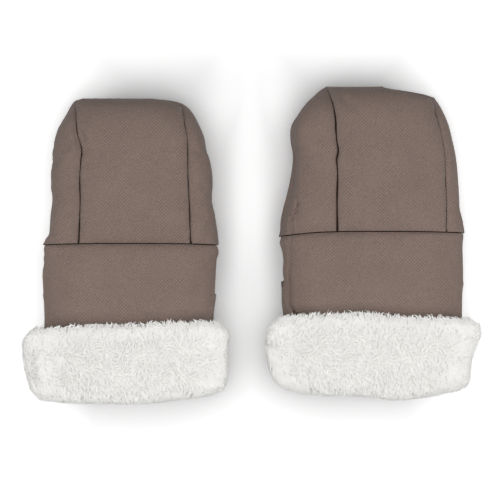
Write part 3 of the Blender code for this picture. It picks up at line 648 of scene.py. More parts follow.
def settle(points, pressure, spare, most, open_last=False):
    """Moves of a grid of points when its pinned panel swells like padded cloth. With open_last only its outermost
    points are pinned at the sides and at the last edge."""
    # Every second row and column is enough for a swell, and the points in between follow their neighbours
    picked = [np.unique([*range(0, count, 2), count - 1]) for count in points.shape[:2]]
    shares = [np.array([np.interp(range(count), some, line) for line in np.eye(len(some))]).T
              for count, some in zip(points.shape[:2], picked)]
    points = points[np.ix_(*picked)]
    rows, columns = points.shape[:2]
    index, faces = grid_faces(rows, columns)
    flat = points.reshape(-1, 3)
    mesh = bpy.data.meshes.new("settling")
    mesh.from_pydata(flat.tolist(), [], faces.tolist())
    work = bmesh.new()
    work.from_mesh(mesh)
    normal = sum((np.array(face.normal) * face.calc_area() for face in work.faces), np.zeros(3))
    if np.dot(normal, points[rows // 2, columns // 2] - flat.mean(axis=0)) < 0:
        bmesh.ops.reverse_faces(work, faces=work.faces)
    work.to_mesh(mesh)
    work.free()
    item = bpy.data.objects.new("settling", mesh)
    bpy.context.scene.collection.objects.link(item)
    pins = item.vertex_groups.new(name="pins")
    held = [*index[0], *index[1], *index[-1], *index[:, 0], *index[:, -1]]
    if not open_last:
        held += [*index[:, 1], *index[:, -2]]
    pins.add([int(point) for point in set(held)], 1.0, "REPLACE")
    cloth = item.modifiers.new("cloth", "CLOTH")
    for name, value in CLOTH_SETTINGS.items():
        setattr(cloth.settings, name, value)
    cloth.settings.uniform_pressure_force = pressure
    cloth.settings.shrink_min = -spare
    cloth.settings.effector_weights.gravity = 0
    cloth.collision_settings.use_collision = False
    cloth.point_cache.frame_end = SETTLE_FRAMES
    for moment in range(1, SETTLE_FRAMES + 1):
        bpy.context.scene.frame_set(moment)
    settled = item.evaluated_get(bpy.context.evaluated_depsgraph_get())
    found = np.zeros(rows * columns * 3)
    settled.data.vertices.foreach_get("co", found)
    bpy.data.objects.remove(item)
    bpy.context.scene.frame_set(1)
    moves = found.reshape(points.shape) - points
    length = np.linalg.norm(moves, axis=-1, keepdims=True)
    moves = moves * np.tanh(length / most) * most / np.maximum(length, 1e-9)
    return np.einsum("ia,jb,abk->ijk", *shares, moves)

# %% [markdown]
# ## From grids to cloth with thickness
#
# A panel is two grids of points, its outside and its inside, joined round the edge. Along a seam the cloth turns in,
# as it does when two pieces are sewn face to face and turned out, so the seam is a real dark furrow and no daylight
# shows between the pieces.

# %% Sheets of cloth
OUTER_CLEAR, INNER_CLEAR = 0.0002, 0.0012
TURN_AT_SIDES = 0.30
PROBE_DEPTH = 0.004


def piece_name(name):
    """A piece that stands in for a CAD node has the node's name and says that it is a piece."""
    return name + "_piece" if name in bpy.data.objects else name


def add_mesh(name, points, faces, material, smooth=True):
    name = piece_name(name)
    mesh = bpy.data.meshes.new(name)
    mesh.from_pydata(np.asarray(points, float).tolist(), [], [tuple(face) for face in faces])
    work = bmesh.new()
    work.from_mesh(mesh)
    bmesh.ops.recalc_face_normals(work, faces=work.faces)
    if work.calc_volume(signed=True) < 0:
        bmesh.ops.reverse_faces(work, faces=work.faces)
    work.to_mesh(mesh)
    work.free()
    mesh.materials.append(material)
    if smooth:
        mesh.shade_smooth()
    item = bpy.data.objects.new(name, mesh)
    bpy.context.scene.collection.objects.link(item)
    return item


def add_sheet(name, outer, inner, material, **more):
    """A closed sheet between an outer and an inner grid."""
    index, faces = grid_faces(*outer.shape[:2])
    count = index.size
    rim = np.array([*index[0, :-1], *index[:-1, -1], *index[-1, :0:-1], *index[:0:-1, 0]])
    after = np.roll(rim, -1)
    faces = np.concatenate([faces, faces[:, ::-1] + count, np.stack([rim, after, after + count, rim + count], axis=1)])
    return add_mesh(name, np.concatenate([outer.reshape(-1, 3), inner.reshape(-1, 3)]), faces, material, **more)


def finished(item, nodes=(), body=None):
    """Hides the CAD nodes that a piece stands for, and hangs it on the body that carries it."""
    if nodes:
        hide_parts(*nodes)
    if body:
        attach(item, body)
    return item


def carve(item, points, faces):
    """Cuts a closed shape out of a piece."""
    cutter = add_mesh("cutter", points, faces, softshell)
    cut = item.modifiers.new("cut", "BOOLEAN")
    cut.operation, cut.solver, cut.object = "DIFFERENCE", "EXACT", cutter
    mesh = bpy.data.meshes.new_from_object(item.evaluated_get(bpy.context.evaluated_depsgraph_get()))
    item.modifiers.clear()
    item.data = mesh
    bpy.data.objects.remove(cutter)


def edged(item, degrees):
    """Smooth shading that keeps the edges sharper than an angle."""
    item.data.shade_smooth()
    item.data.set_sharp_from_angle(angle=math.radians(degrees))


def above_table(outer, inner):
    outer[..., 2], inner[..., 2] = np.maximum(outer[..., 2], OUTER_CLEAR), np.maximum(inner[..., 2], INNER_CLEAR)


def turn_in(outer, inner, inwards, sides):
    """Adds a turned edge on the sewn sides: first and last row, first and last column. inwards is the direction
    into the muff at every point."""
    for wanted, axis, step in zip(sides, (0, 0, 1, 1), (1, -1, 1, -1)):
        if wanted:
            # The side comes first for a moment. The inside keeps the cloth's thickness from it
            outer, inner, inwards = (np.moveaxis(grid, axis, 0)[::step] for grid in (outer, inner, inwards))
            inner, way = np.concatenate([inner[2:3], inner[1:]]), inwards[:1]
            grids = [[outer[:1] + way * TURNED_EDGE, outer], [inner[:1] + way * TURNED_EDGE, inner], [way, inwards]]
            outer, inner, inwards = (np.moveaxis(np.concatenate(grid)[::step], 0, axis) for grid in grids)
    return outer, inner


def facing_in(muff, rows, angle):
    """Directions from the wall into the muff, shorter at the sides, where the edges turn in less."""
    way = wall(muff, rows, angle, PROBE_DEPTH) - wall(muff, rows, angle)
    reach = TURN_AT_SIDES + (1 - TURN_AT_SIDES) * np.clip(np.sin(angle), 0, 1)[..., None] ** 0.5
    return way * reach / np.maximum(np.linalg.norm(way, axis=-1, keepdims=True), 1e-9)


print("thickness of the softshell in mm:", 1000 * CLOTH)

# %% [markdown]
# ## Cloth finishes from shared node groups
#
# The softshell shows a fine crossed twill with patches where it catches the light differently. One group makes that
# weave in three directions and picks the one that faces the surface, so it needs no UV map. A second group gives any
# cloth a cloudy change of shade: slow from dye, dust and handling, or as fine as the threads from uneven yarn.

# %% Node group: crossed twill
FLECK_SCALE = 70.0
FUZZ_SCALE, FUZZ_SHARE = 900.0, 0.8


def cloth_group(name, field, **numbers):
    """A group that takes a colour and numbers, and gives a colour and one more field."""
    tree = bpy.data.node_groups.new(name, "ShaderNodeTree")
    sockets = [("Colour", "INPUT", "NodeSocketColor", (0.5, 0.5, 0.5, 1)),
               *((label.replace("_", " "), "INPUT", "NodeSocketFloat", value) for label, value in numbers.items()),
               ("Colour", "OUTPUT", "NodeSocketColor", None), (field, "OUTPUT", "NodeSocketFloat", None)]
    for label, way, kind, value in sockets:
        socket = tree.interface.new_socket(name=label, in_out=way, socket_type=kind)
        if value is not None:
            socket.default_value = value
    given, result = tree.nodes.new("NodeGroupInput").outputs, tree.nodes.new("NodeGroupOutput").inputs
    return tree, given, result, node(tree, "ShaderNodeTexCoord").outputs


def give(tree, given, result, amount, field):
    """Ends a group: its colour is shaded by an amount of the field, which is given too."""
    shade = calculate(tree, "MULTIPLY_ADD", field, amount, 1.0)
    tree.links.new(mixed(tree, 1.0, given["Colour"], shade, "MULTIPLY"), result["Colour"])
    tree.links.new(field, result[1])
    return tree


def make_twill():
    tree, given, result, coordinates = cloth_group("crossed_twill", "Height", Thread_Pitch=0.002, Contrast=0.1)
    places = node(tree, "ShaderNodeSeparateXYZ", coordinates["Object"]).outputs
    facing = node(tree, "ShaderNodeSeparateXYZ", coordinates["Normal"]).outputs
    wave = calculate(tree, "DIVIDE", math.pi, given["Thread Pitch"])
    total, weights = None, None
    for *plane, normal in ((0, 1, 2), (1, 2, 0), (0, 2, 1)):
        waves = [calculate(tree, "SINE", calculate(tree, "MULTIPLY", places[axis], wave)) for axis in plane]
        weight = calculate(tree, "POWER", calculate(tree, "ABSOLUTE", facing[normal]), 4.0)
        share = calculate(tree, "MULTIPLY", calculate(tree, "MULTIPLY", *waves), weight)
        total = share if total is None else calculate(tree, "ADD", total, share)
        weights = weight if weights is None else calculate(tree, "ADD", weights, weight)
    # The threads stand out in some patches only, under a fine fuzz
    strength = ramp(tree, noise(tree, coordinates["Object"], FLECK_SCALE, 3.0), 0.40, 0.62, 0.10, 1.0)
    height = calculate(tree, "MULTIPLY", calculate(tree, "DIVIDE", total, weights), strength)
    fuzz = calculate(tree, "SUBTRACT", noise(tree, coordinates["Object"], FUZZ_SCALE, 2.0), 0.5)
    height = calculate(tree, "MULTIPLY_ADD", fuzz, FUZZ_SHARE, height)
    return give(tree, given, result, given["Contrast"], height)


TWILL = make_twill()
print("nodes in the twill group:", len(TWILL.nodes))

# %% Node group: cloudy shade
def make_clouds():
    tree, given, result, coordinates = cloth_group("cloudy_shade", "Mask", Patch_Size=0.03, Amount=0.06)
    clouds = noise(tree, coordinates["Object"], calculate(tree, "DIVIDE", 1.0, given["Patch Size"]), 4.0)
    return give(tree, given, result, given["Amount"], ramp(tree, clouds, 0.3, 0.7, -1.0, 1.0))


CLOUDS = make_clouds()
print("node groups:", len(bpy.data.node_groups))

# %% Softshell, tape and thread
def new_material(name, roughness, sheen=0.0, metallic=0.0, specular=0.3):
    material = bpy.data.materials.new(name)
    material.use_nodes = True
    shader = material.node_tree.nodes["Principled BSDF"]
    shader.inputs["Roughness"].default_value = roughness
    shader.inputs["Metallic"].default_value = metallic
    shader.inputs["Specular IOR Level"].default_value = specular
    shader.inputs["Sheen Weight"].default_value = sheen
    shader.inputs["Sheen Roughness"].default_value = 0.5
    return material, material.node_tree, shader


def placed(tree, group, **values):
    made = tree.nodes.new("ShaderNodeGroup")
    made.node_tree = group
    for name, value in values.items():
        feed(tree, made.inputs[name.replace("_", " ")], value)
    return made.outputs


def add_bump(tree, shader, height, distance):
    bump = node(tree, "ShaderNodeBump", 1.0, distance)
    tree.links.new(height, bump.inputs["Height"])
    tree.links.new(bump.outputs[0], shader.inputs["Normal"])


CLOUD_SIZE, CLOUD_AMOUNT = 0.035, 0.05


def woven(name, colour, pitch, contrast, roughness, sheen, bump, uneven=0.05):
    material, tree, shader = new_material(name, roughness, sheen=sheen, specular=0.03)
    clouds = placed(tree, CLOUDS, Colour=colour, Patch_Size=CLOUD_SIZE, Amount=CLOUD_AMOUNT)
    twill = placed(tree, TWILL, Colour=clouds["Colour"], Thread_Pitch=pitch, Contrast=contrast)
    # No two threads take the dye alike
    yarn = placed(tree, CLOUDS, Colour=twill["Colour"], Patch_Size=0.8 * pitch, Amount=uneven)
    tree.links.new(yarn["Colour"], shader.inputs["Base Color"])
    rough = ramp(tree, clouds["Mask"], -1.0, 1.0, roughness - 0.05, roughness + 0.05)
    tree.links.new(rough, shader.inputs["Roughness"])
    add_bump(tree, shader, twill["Height"], bump)
    return material


softshell = woven("softshell", linear(127, 111, 103), 0.00165, 0.27, 0.86, 0.12, 0.00012, uneven=0.17)
webbing = woven("tape_webbing", linear(92, 80, 74), 0.0014, 0.14, 0.8, 0.05, 0.0002)
# Dark stitching, used for the stitches and for the strips behind the seams, where the dark colour is also painted shade
# of the deep seams
thread_and_seam_shade = woven("sewing_thread_and_seam_shade", linear(40, 29, 24), 0.0006, 0.2, 0.7, 0.1, 0.0001)
print("woven materials:", softshell.name, webbing.name, thread_and_seam_shade.name)

# %% Fleece and snap fastener steel
def fleece_material(name, colour, amount, lump_size=None, lump_height=None, through=0.0):
    material, tree, shader = new_material(name, 0.95, sheen=0.15, specular=0.15)
    clouds = placed(tree, CLOUDS, Colour=colour, Patch_Size=0.012, Amount=amount)
    # Painted glow: the pile gives off a little light of its own, in place of the light that fine white hairs pass on to
    # their shaded side
    shader.inputs["Emission Color"].default_value = (1.0, 0.995, 0.985, 1)
    shader.inputs["Emission Strength"].default_value = through
    tree.links.new(clouds["Colour"], shader.inputs["Base Color"])
    if lump_size:
        places = node(tree, "ShaderNodeTexCoord").outputs["Object"]
        add_bump(tree, shader, noise(tree, places, 1 / lump_size, 3.0), lump_height)
    return material


# The ground is a little darker than the pile: painted shade that shows in the gaps between the locks
shaded_fleece_ground = fleece_material("shaded_fleece_ground", linear(231, 230, 227), 0.02, lump_size=0.0035, lump_height=0.0010)
fleece_pile = fleece_material("fleece_pile", linear(246, 245, 243), 0.015, through=0.055)

snap_steel, tree, shader = new_material("snap_steel", 0.3, metallic=1.0, specular=0.5)
clouds = placed(tree, CLOUDS, Colour=linear(168, 163, 156), Patch_Size=0.004, Amount=0.08)
# Brushed: the noise is drawn out along X
drawn_out = node(tree, "ShaderNodeMapping", node(tree, "ShaderNodeTexCoord").outputs["Object"], None, None,
                 (9000.0, 700.0, 700.0))
brushed = noise(tree, drawn_out.outputs[0], 1.0, 2.0)
tree.links.new(clouds["Colour"], shader.inputs["Base Color"])
tree.links.new(ramp(tree, brushed, 0.3, 0.7, 0.22, 0.42), shader.inputs["Roughness"])
add_bump(tree, shader, brushed, 0.00002)
print("materials:", len(bpy.data.materials))

# %% [markdown]
# ## The toe box
#
# The back of the hand is a wide centre panel between two gussets, all sewn to a palm panel. Each is its own sheet:
# columns run from seam to seam, rows from the tip down to the cross seam.

# %% Panels of the toe box
EDGE_TURN = 0.0120
TIP_LAP = 0.0007
# Pressure, spare cloth and the largest move in m
SWELL, PALM_SWELL, BAND_SWELL = (3.0, 0.013, 0.0017), (0.5, 0.005, 0.0006), (2.2, 0.014, 0.0014)


def arc_length(muff, rows, first, last, row):
    line = wall(muff, rows, between(rows, first, last, 41))[row]
    return float(np.linalg.norm(np.diff(line, axis=0), axis=1).sum())


def sewn_panel(muff, name, rows, first, last, ends, seams, seed, swell):
    """One panel. first and last are its side directions, row by row; ends says which sides have seams."""
    length = arc_length(muff, rows, first, last, len(rows["y"]) * 2 // 3)
    angle = gathered(muff, rows, between(rows, first, last, stations(length, *ends)))
    flat = wall(muff, rows, angle)
    depth = relief(muff, rows, flat, seams, seed)
    # The upper panels lap a little over the palm panel, so that their common seam lies just under the outline
    tip = (1 - np.clip(rows["closing"], 0, 1))[:, None] ** 2
    depth = depth + tip * (2 * TIP_LAP if name == "palm_panel" else -TIP_LAP)
    moves = settle(flat, *swell) + groove_drop(muff, flat)
    outer = wall(muff, rows, angle, depth) + moves
    inner = wall(muff, rows, angle, depth + CLOTH) + moves
    # A toe panel closes at the tip, and the band has its free edge at the mouth
    band = name == "front_band"
    outer, inner = turn_in(outer, inner, facing_in(muff, rows, angle), (band, not band, True, True))
    above_table(outer, inner)
    made = add_sheet(f"{muff['name']}_{name}", outer, inner, softshell)
    print(made.name, outer.shape[:2], "largest swell in mm:", round(1000 * float(np.abs(moves).max()), 2))
    return finished(made, [f"{muff['name']}_{name}"])


for muff in MUFFS:
    rows = toe_rows(muff)
    right_seam, left_seam = seam_angles(muff, rows["y"])
    left_x, right_x = seam_x(muff, rows["y"])
    # The seams open and close a little along their length
    right_turn, left_turn = (EDGE_TURN * (1 + 0.35 * ripple(rows["y"], 0.030, seed)) for seed in (83, 89))
    gussets = ("outer_gusset", "inner_gusset") if muff["outer"] > 0 else ("inner_gusset", "outer_gusset")
    # Name, the directions of both sides, which of them have seams in the wall, the seams' places, seed and swell
    panels = (
        ("centre_panel", right_seam + right_turn, left_seam - left_turn, (True, True), (left_x, right_x), 11, SWELL),
        (gussets[0], 0.0, right_seam - right_turn, (False, True), (right_x,), 23, SWELL),
        (gussets[1], left_seam + left_turn, math.pi, (True, False), (left_x,), 37, SWELL),
        ("palm_panel", math.pi, math.tau, (False, False), (), 41, PALM_SWELL),
    )
    for name, *panel in panels:
        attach(sewn_panel(muff, name, rows, *panel), muff["name"] + "_muff")

# %% [markdown]
# ## Band, palm wall and bar notch
#
# Below the cross seam the muff is open at both sides, so that the handlebar can be laid in: the palm wall has a notch
# on each side, and the front band lifts as a flap. The palm wall is one sheet cut by a rounded trough. Webbing is
# folded over the cut edge, because raw softshell over fleece would fray there.

# %% Palm wall with its notch
NOTCH_LENGTH = 0.0480
NOTCH_FLOOR = 0.0160
NOTCH_CORNER = 0.0080
LINING_OUTER = 0.0046
LINING_INNER = 0.0093
SPLIT_GAP = 0.0028
TUCK_REACH = 0.16
TUCK_DEPTH = 0.0021
OVERLAP = 0.10
TROUGH_REACH, TROUGH_TOP = 0.12, 0.10
SPLIT = float(angle_across(SPLIT_SHARE))


def notch_outline(muff, corner_steps=8, clear=0.0):
    """The notch from the cross seam round its floor to the band side, as Y and Z."""
    first, last = muff["seam_y"] - GAP / 2 + clear, muff["seam_y"] - NOTCH_LENGTH - clear
    line = []
    for start, way, corner in ((first, -1, NOTCH_CORNER * 0.35), (last, 1, NOTCH_CORNER)):
        for step in range(corner_steps + 1):
            turn = math.pi / 2 * step / corner_steps
            round_y = 1 - (math.cos(turn) if way < 0 else math.sin(turn))
            round_z = 1 - (math.sin(turn) if way < 0 else math.cos(turn))
            line.append((start + way * corner * round_y, NOTCH_FLOOR - clear + corner * round_z))
    return line


def cut_notch(muff, item, clear):
    """Cuts a trough across the muff."""
    x = float(np.mean([corner[0] for corner in item.bound_box]))
    outline = notch_outline(muff, clear=clear)
    ring = [(outline[0][0], TROUGH_TOP), *outline, (outline[-1][0], TROUGH_TOP)]
    points = [(x + side * TROUGH_REACH, y, z) for side in (-1, 1) for y, z in ring]
    count = len(ring)
    faces = [tuple(range(count)), tuple(reversed(range(count, 2 * count)))]
    faces += [(i, i + count, (i + 1) % count + count, (i + 1) % count) for i in range(count)]
    carve(item, points, faces)


for muff in MUFFS:
    rows = lower_rows(muff)
    first, last = math.pi - SPLIT + SPLIT_GAP, math.tau + SPLIT - SPLIT_GAP
    angle = between(rows, first, last, stations(arc_length(muff, rows, first, last, 20), False, False))
    flat = wall(muff, rows, angle)
    # The upper edges tuck under the flap
    tucked = np.clip((np.sin(angle) - math.sin(SPLIT) + TUCK_REACH) / TUCK_REACH, 0, 1)
    depth = relief(muff, rows, flat, (), 53) + TUCK_DEPTH * tucked * (3 - 2 * tucked) * tucked
    moves = settle(flat, *PALM_SWELL, open_last=True)
    outer = wall(muff, rows, angle, depth) + moves
    inner = wall(muff, rows, angle, depth + CLOTH) + moves
    above_table(outer, inner)
    palm_wall = add_sheet(f"{muff['name']}_palm_band", outer, inner, softshell)
    cut_notch(muff, palm_wall, 0.0004)
    edged(palm_wall, 50)
    finished(palm_wall, [muff["name"] + "_palm_band"], muff["name"] + "_muff")
    print(palm_wall.name, len(palm_wall.data.polygons), "faces")

# %% Webbing over the notch edges
# Across the strip: how far from the notch edge, and how deep in the wall
BINDING_PROFILE = ((0.0046, 0.0010), (0.0042, 0.0003), (0.0, 0.0003), (-0.0006, 0.0010), (-0.0006, 0.0035),
                   (-0.0006, 0.0075), (-0.0005, 0.0096), (-0.0001, 0.0102), (0.0008, 0.0103), (0.0010, 0.0098))
# The inside of the strip: its least offset, and its least and greatest depth
BINDING_CORE = (0.0006, 0.0012, 0.0094)
BINDING_LOWER, BINDING_TUCK, BINDING_NARROW, BINDING_OUTSIDE = 0.0035, 0.007, 0.004, 0.005
NARROWEST = 0.2
MIDDLE_OF_OPENING = 0.05


def piece_of(muff, side, label):
    """Name of a piece on one side of a muff."""
    return f"{muff['name']}_{'outer' if side == muff['outer'] else 'inner'}_{label}"


def wall_x(muff, y, z, depth, side):
    """Place across the muff of the wall at one depth, for points given by Y and Z."""
    low, middle, top = section(muff, y)
    wide = half_widths(muff, y)[side > 0] - depth
    tall = np.where(z > middle, top - middle, middle - low) - depth
    reach = np.clip(1 - (np.abs(z - middle) / tall) ** SECTION_POWER, 0, 1) ** (1 / SECTION_POWER)
    return muff["x"] + side * wide * reach


def notch_binding(muff, side):
    """Webbing folded over the cut edge of the side wall: a strip that follows the notch and wraps its thickness."""
    _, middle, top = (float(value) for value in section(muff, np.array(muff["seam_y"] - 0.001)))
    split_z = middle + (top - middle) * float(rounded(SPLIT, SECTION_POWER)[1]) - BINDING_LOWER
    outline = notch_outline(muff, 10)
    (first_y, first_z), (last_y, last_z) = outline[0], outline[-1]
    path = np.array([*((first_y, split_z - (split_z - first_z) * share) for share in np.linspace(0, 0.95, 8)), *outline,
                     *((last_y, last_z + (split_z - last_z) * share) for share in np.linspace(0.05, 1, 10))])
    along = np.gradient(path, axis=0)
    along /= np.linalg.norm(along, axis=1, keepdims=True)
    away = np.stack([-along[:, 1], along[:, 0]], axis=1)
    centre = np.array([muff["seam_y"] - NOTCH_LENGTH / 2, MIDDLE_OF_OPENING])
    if np.sum((path - centre) * away) < 0:
        away = -away
    # Next to the cross seam the webbing covers no more than the end of the wall
    widening = np.clip((path[:1, 0] - path[:, 0]) / BINDING_NARROW, 0, 1)
    narrow = (NARROWEST + (1 - NARROWEST) * widening)[:, None]

    def strip(offset, depth):
        y, z = (path + away * offset * narrow).T
        near_split = np.clip((z - split_z + BINDING_TUCK) / BINDING_TUCK, 0, 1)
        tucked = TUCK_DEPTH * near_split * (depth < BINDING_OUTSIDE)
        x = wall_x(muff, y, z, depth + tucked, side)
        return np.stack([x, y - sag(muff, y, x), z], axis=1)

    nearest, shallow, deepest = BINDING_CORE
    outer = np.stack([strip(offset, depth) for offset, depth in BINDING_PROFILE], axis=1)
    core = np.stack([strip(max(offset, nearest) * 0.999, min(max(depth, shallow), deepest))
                     for offset, depth in BINDING_PROFILE], axis=1)
    return add_sheet(piece_of(muff, side, "notch_binding"), outer, core, webbing)


for muff in MUFFS:
    for side in (-1, 1):
        binding = finished(notch_binding(muff, side), body=muff["name"] + "_muff")
        print(binding.name, len(binding.data.vertices), "points")

# %% [markdown]
# ## The flap
#
# The front band is sewn to the toe box along the cross seam and lifts about it. Cloth bends there, it doesn't swing
# like a lid. Here the band, its lining, the lining's pile and its hems only have their placement baked into their
# points; nothing ties them to the flap's body.


def hinge_blend(item):
    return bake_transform(item)


for muff in MUFFS:
    rows = lower_rows(muff)
    first, last = SPLIT - OVERLAP, math.pi - SPLIT + OVERLAP
    hinge_blend(sewn_panel(muff, "front_band", rows, first, last, (True, True), (), 67, BAND_SWELL))

# %% [markdown]
# ## Fleece lining
#
# The lining is a thick fleece. Its outer face is never seen. Its inner face is lumpy, and a cell further below covers
# it in short pile, which shows at the mouth and when a flap is open.

# %% Lining sheets
HEM_INSET = 0.0360
HEM_CLEARANCE = 0.01
TRENCH_DEPTH, TRENCH_HALF = 0.0018, 0.006
LINING_LUMPS, LINING_LUMP_LENGTH = 0.0007, 0.009
LINING_FILLS = 0.0030
inner_faces = {}


def seam_trench(muff, points):
    """Room for the seam allowances between the softshell and the lining."""
    x, y = points[..., 0], points[..., 1]
    left_x, right_x = seam_x(muff, y)
    long_seams = np.where(y > muff["seam_y"], np.minimum(np.abs(x - left_x), np.abs(x - right_x)), 1)
    return TRENCH_DEPTH * np.exp(-(np.minimum(np.abs(y - muff["seam_y"]), long_seams) / TRENCH_HALF) ** 2)


def lining_sheet(muff, name, rows, angle, seed):
    flat = wall(muff, rows, angle)
    x, y, z = np.moveaxis(flat, -1, 0)
    lumps = LINING_LUMPS * unrest(x, y + z, LINING_LUMP_LENGTH, seed)
    hollow = np.maximum(dents(muff, flat), 0)
    outer = wall(muff, rows, angle, LINING_OUTER + hollow + seam_trench(muff, flat))
    inner = wall(muff, rows, angle, LINING_INNER + lumps + np.maximum(hollow - LINING_FILLS, 0))
    inner_faces[f"{muff['name']}_{name}"] = inner
    return add_sheet(f"{muff['name']}_{name}", outer, inner, shaded_fleece_ground)


def hem_directions(muff, rows):
    left, right = half_widths(muff, rows["y"])
    return angle_across((right - HEM_INSET) / right), angle_across(-(left - HEM_INSET) / left)


for muff in MUFFS:
    name, toe, lower = muff["name"], toe_rows(muff), lower_rows(muff)
    toe = {key: np.append(values[:-1:4], values[-1]) for key, values in toe.items()}
    toe_lining = lining_sheet(muff, "toe_lining", toe, between(toe, 0.0, math.pi, 96), 71)
    finished(toe_lining, [name + "_toe_lining"], name + "_muff")
    both = {key: np.concatenate([toe[key], lower[key]]) for key in toe}
    rise = np.where(np.arange(len(both["y"])) < len(toe["y"]), 0.0, SPLIT - SPLIT_GAP)
    palm_lining = lining_sheet(muff, "palm_lining", both, between(both, math.pi - rise, math.tau + rise, 60), 73)
    cut_notch(muff, palm_lining, 0.0006)
    palm_lining.data.shade_smooth()
    finished(palm_lining, [name + "_palm_lining"], name + "_muff")
    right_limit, left_limit = hem_directions(muff, lower)
    angle = between(lower, right_limit + HEM_CLEARANCE, left_limit - HEM_CLEARANCE, 44)
    flap_lining = lining_sheet(muff, "flap_lining", lower, angle, 79)
    hinge_blend(finished(flap_lining, [name + "_flap_lining"]))
    print(name, "lining sheets:", len(inner_faces))

# %% [markdown]
# ## Turned back cuffs
#
# Each cuff is fleece that is turned out over the mouth: it starts on the body with a free top edge, swells over the
# wall, rolls round the mouth and ends inside. Its ground is a closed sheet. The pile stands on it in locks: a lock is
# a bundle of thin ribbons that rises from the ground, leans over and comes together at its tip. That is how real
# pile clumps, and it gives the worm-like relief and the spiky edge over the band without any picture.

# %% Skin and ground of a cuff
CUFF_THICKNESS = 0.0140
CUFF_DEPTH = 0.0108
CUFF_PROFILE = ((0.0, 0.0, 0.42, 0.0), (0.05, 0.05, 0.80, 0.0), (0.16, 0.16, 0.975, 0.0), (0.33, 0.34, 1.0, 0.0),
                (0.55, 0.58, 0.99, 0.0), (0.72, 0.79, 0.93, 0.0), (0.84, 0.94, 0.72, 0.0), (0.90, 0.99, 0.42, 0.0),
                (0.95, 1.0, 0.10, 0.25), (1.0, 0.985, 0.0, 1.0))
PILE_HEIGHTS = ((0.0, 0.0014), (0.08, 0.0036), (0.80, 0.0036), (0.93, 0.0026), (1.0, 0.0018))
ROLL_START = 0.84
CUFF_LUMPS, CUFF_LUMP_LENGTH, CUFF_TUBE = 0.0008, 0.016, 0.0034


def cuff_skin(muff, run, angle):
    """The outside of the pile, for places along the turned back profile (0 top edge, 1 inside the mouth)."""
    share, swell, turned = (value[:, None] for value in curve(CUFF_PROFILE, run).T)
    swell, turned = np.clip(swell, 0, 1), np.clip(turned, 0, 1)
    y = muff["seam_y"] - muff["band"] - CUFF_LENGTH * share
    low, middle, top = section(muff, y)
    left, right = half_widths(muff, y)
    wide_left, wide_right = np.moveaxis(curve(muff["cuff"], share) * muff["half"], -1, 0)
    across, upward = rounded(angle, SECTION_POWER)
    body, wide = np.where(across > 0, right, left), np.where(across > 0, wide_right, wide_left)
    thick = np.where(upward > 0, CUFF_THICKNESS, low)
    x = muff["x"] + (body + (wide - body) * swell**0.4 - CUFF_DEPTH * turned) * across
    tall = np.where(upward > 0, top - middle, middle - low) + thick * swell - CUFF_DEPTH * turned
    return np.stack([x, y + drift(muff, x, y), np.maximum(middle + tall * upward, 0)], axis=-1)


def outward(muff, points):
    """Unit normals of a grid, away from the middle of the muff."""
    ways = np.cross(np.gradient(points, axis=0), np.gradient(points, axis=1))
    ways /= np.maximum(np.linalg.norm(ways, axis=-1, keepdims=True), 1e-12)
    centre = np.array([muff["x"], points[..., 1].mean(), BODY_HEIGHT / 2])
    return ways if np.sum(ways * (points - centre)) > 0 else -ways


def cuff_half(muff, name, first, last, seed):
    """Ground sheet of one half cuff. Gives the piece, and the skin, normals and ground that its pile needs."""
    run, angle = np.linspace(0, 1, 46), np.linspace(first, last, 96)[None, :]
    skin = cuff_skin(muff, run, angle)
    ways = outward(muff, skin)
    x, y, z = np.moveaxis(skin, -1, 0)
    lumps = CUFF_LUMPS * unrest(x + z, y, CUFF_LUMP_LENGTH, seed)[..., None]
    ground = skin - ways * (curve(PILE_HEIGHTS, run)[:, None] - lumps)
    share = np.clip(curve(CUFF_PROFILE, run)[:, 0], 0, MOUTH_SHARE)
    rolled = np.clip((run - ROLL_START) / (1 - ROLL_START), 0, 1)
    y = muff["seam_y"] - muff["band"] - CUFF_LENGTH * share - GAP * (rolled > 0)
    depth = (-GAP + (CUFF_DEPTH - CUFF_TUBE + GAP) * rolled)[:, None] + 0 * angle
    inner = wall(muff, open_rows(y), np.broadcast_to(angle, depth.shape), depth)
    ground[..., 2] = np.maximum(ground[..., 2], INNER_CLEAR)
    return add_sheet(f"{muff['name']}_{name}", ground, inner, shaded_fleece_ground), skin, ways, ground


# %% Locks of pile
STRAND_STEPS = 4
CURL = 0.7
TURN_SPREAD = 0.30
SPREAD = 0.10
STAVE_REACH = 1.15


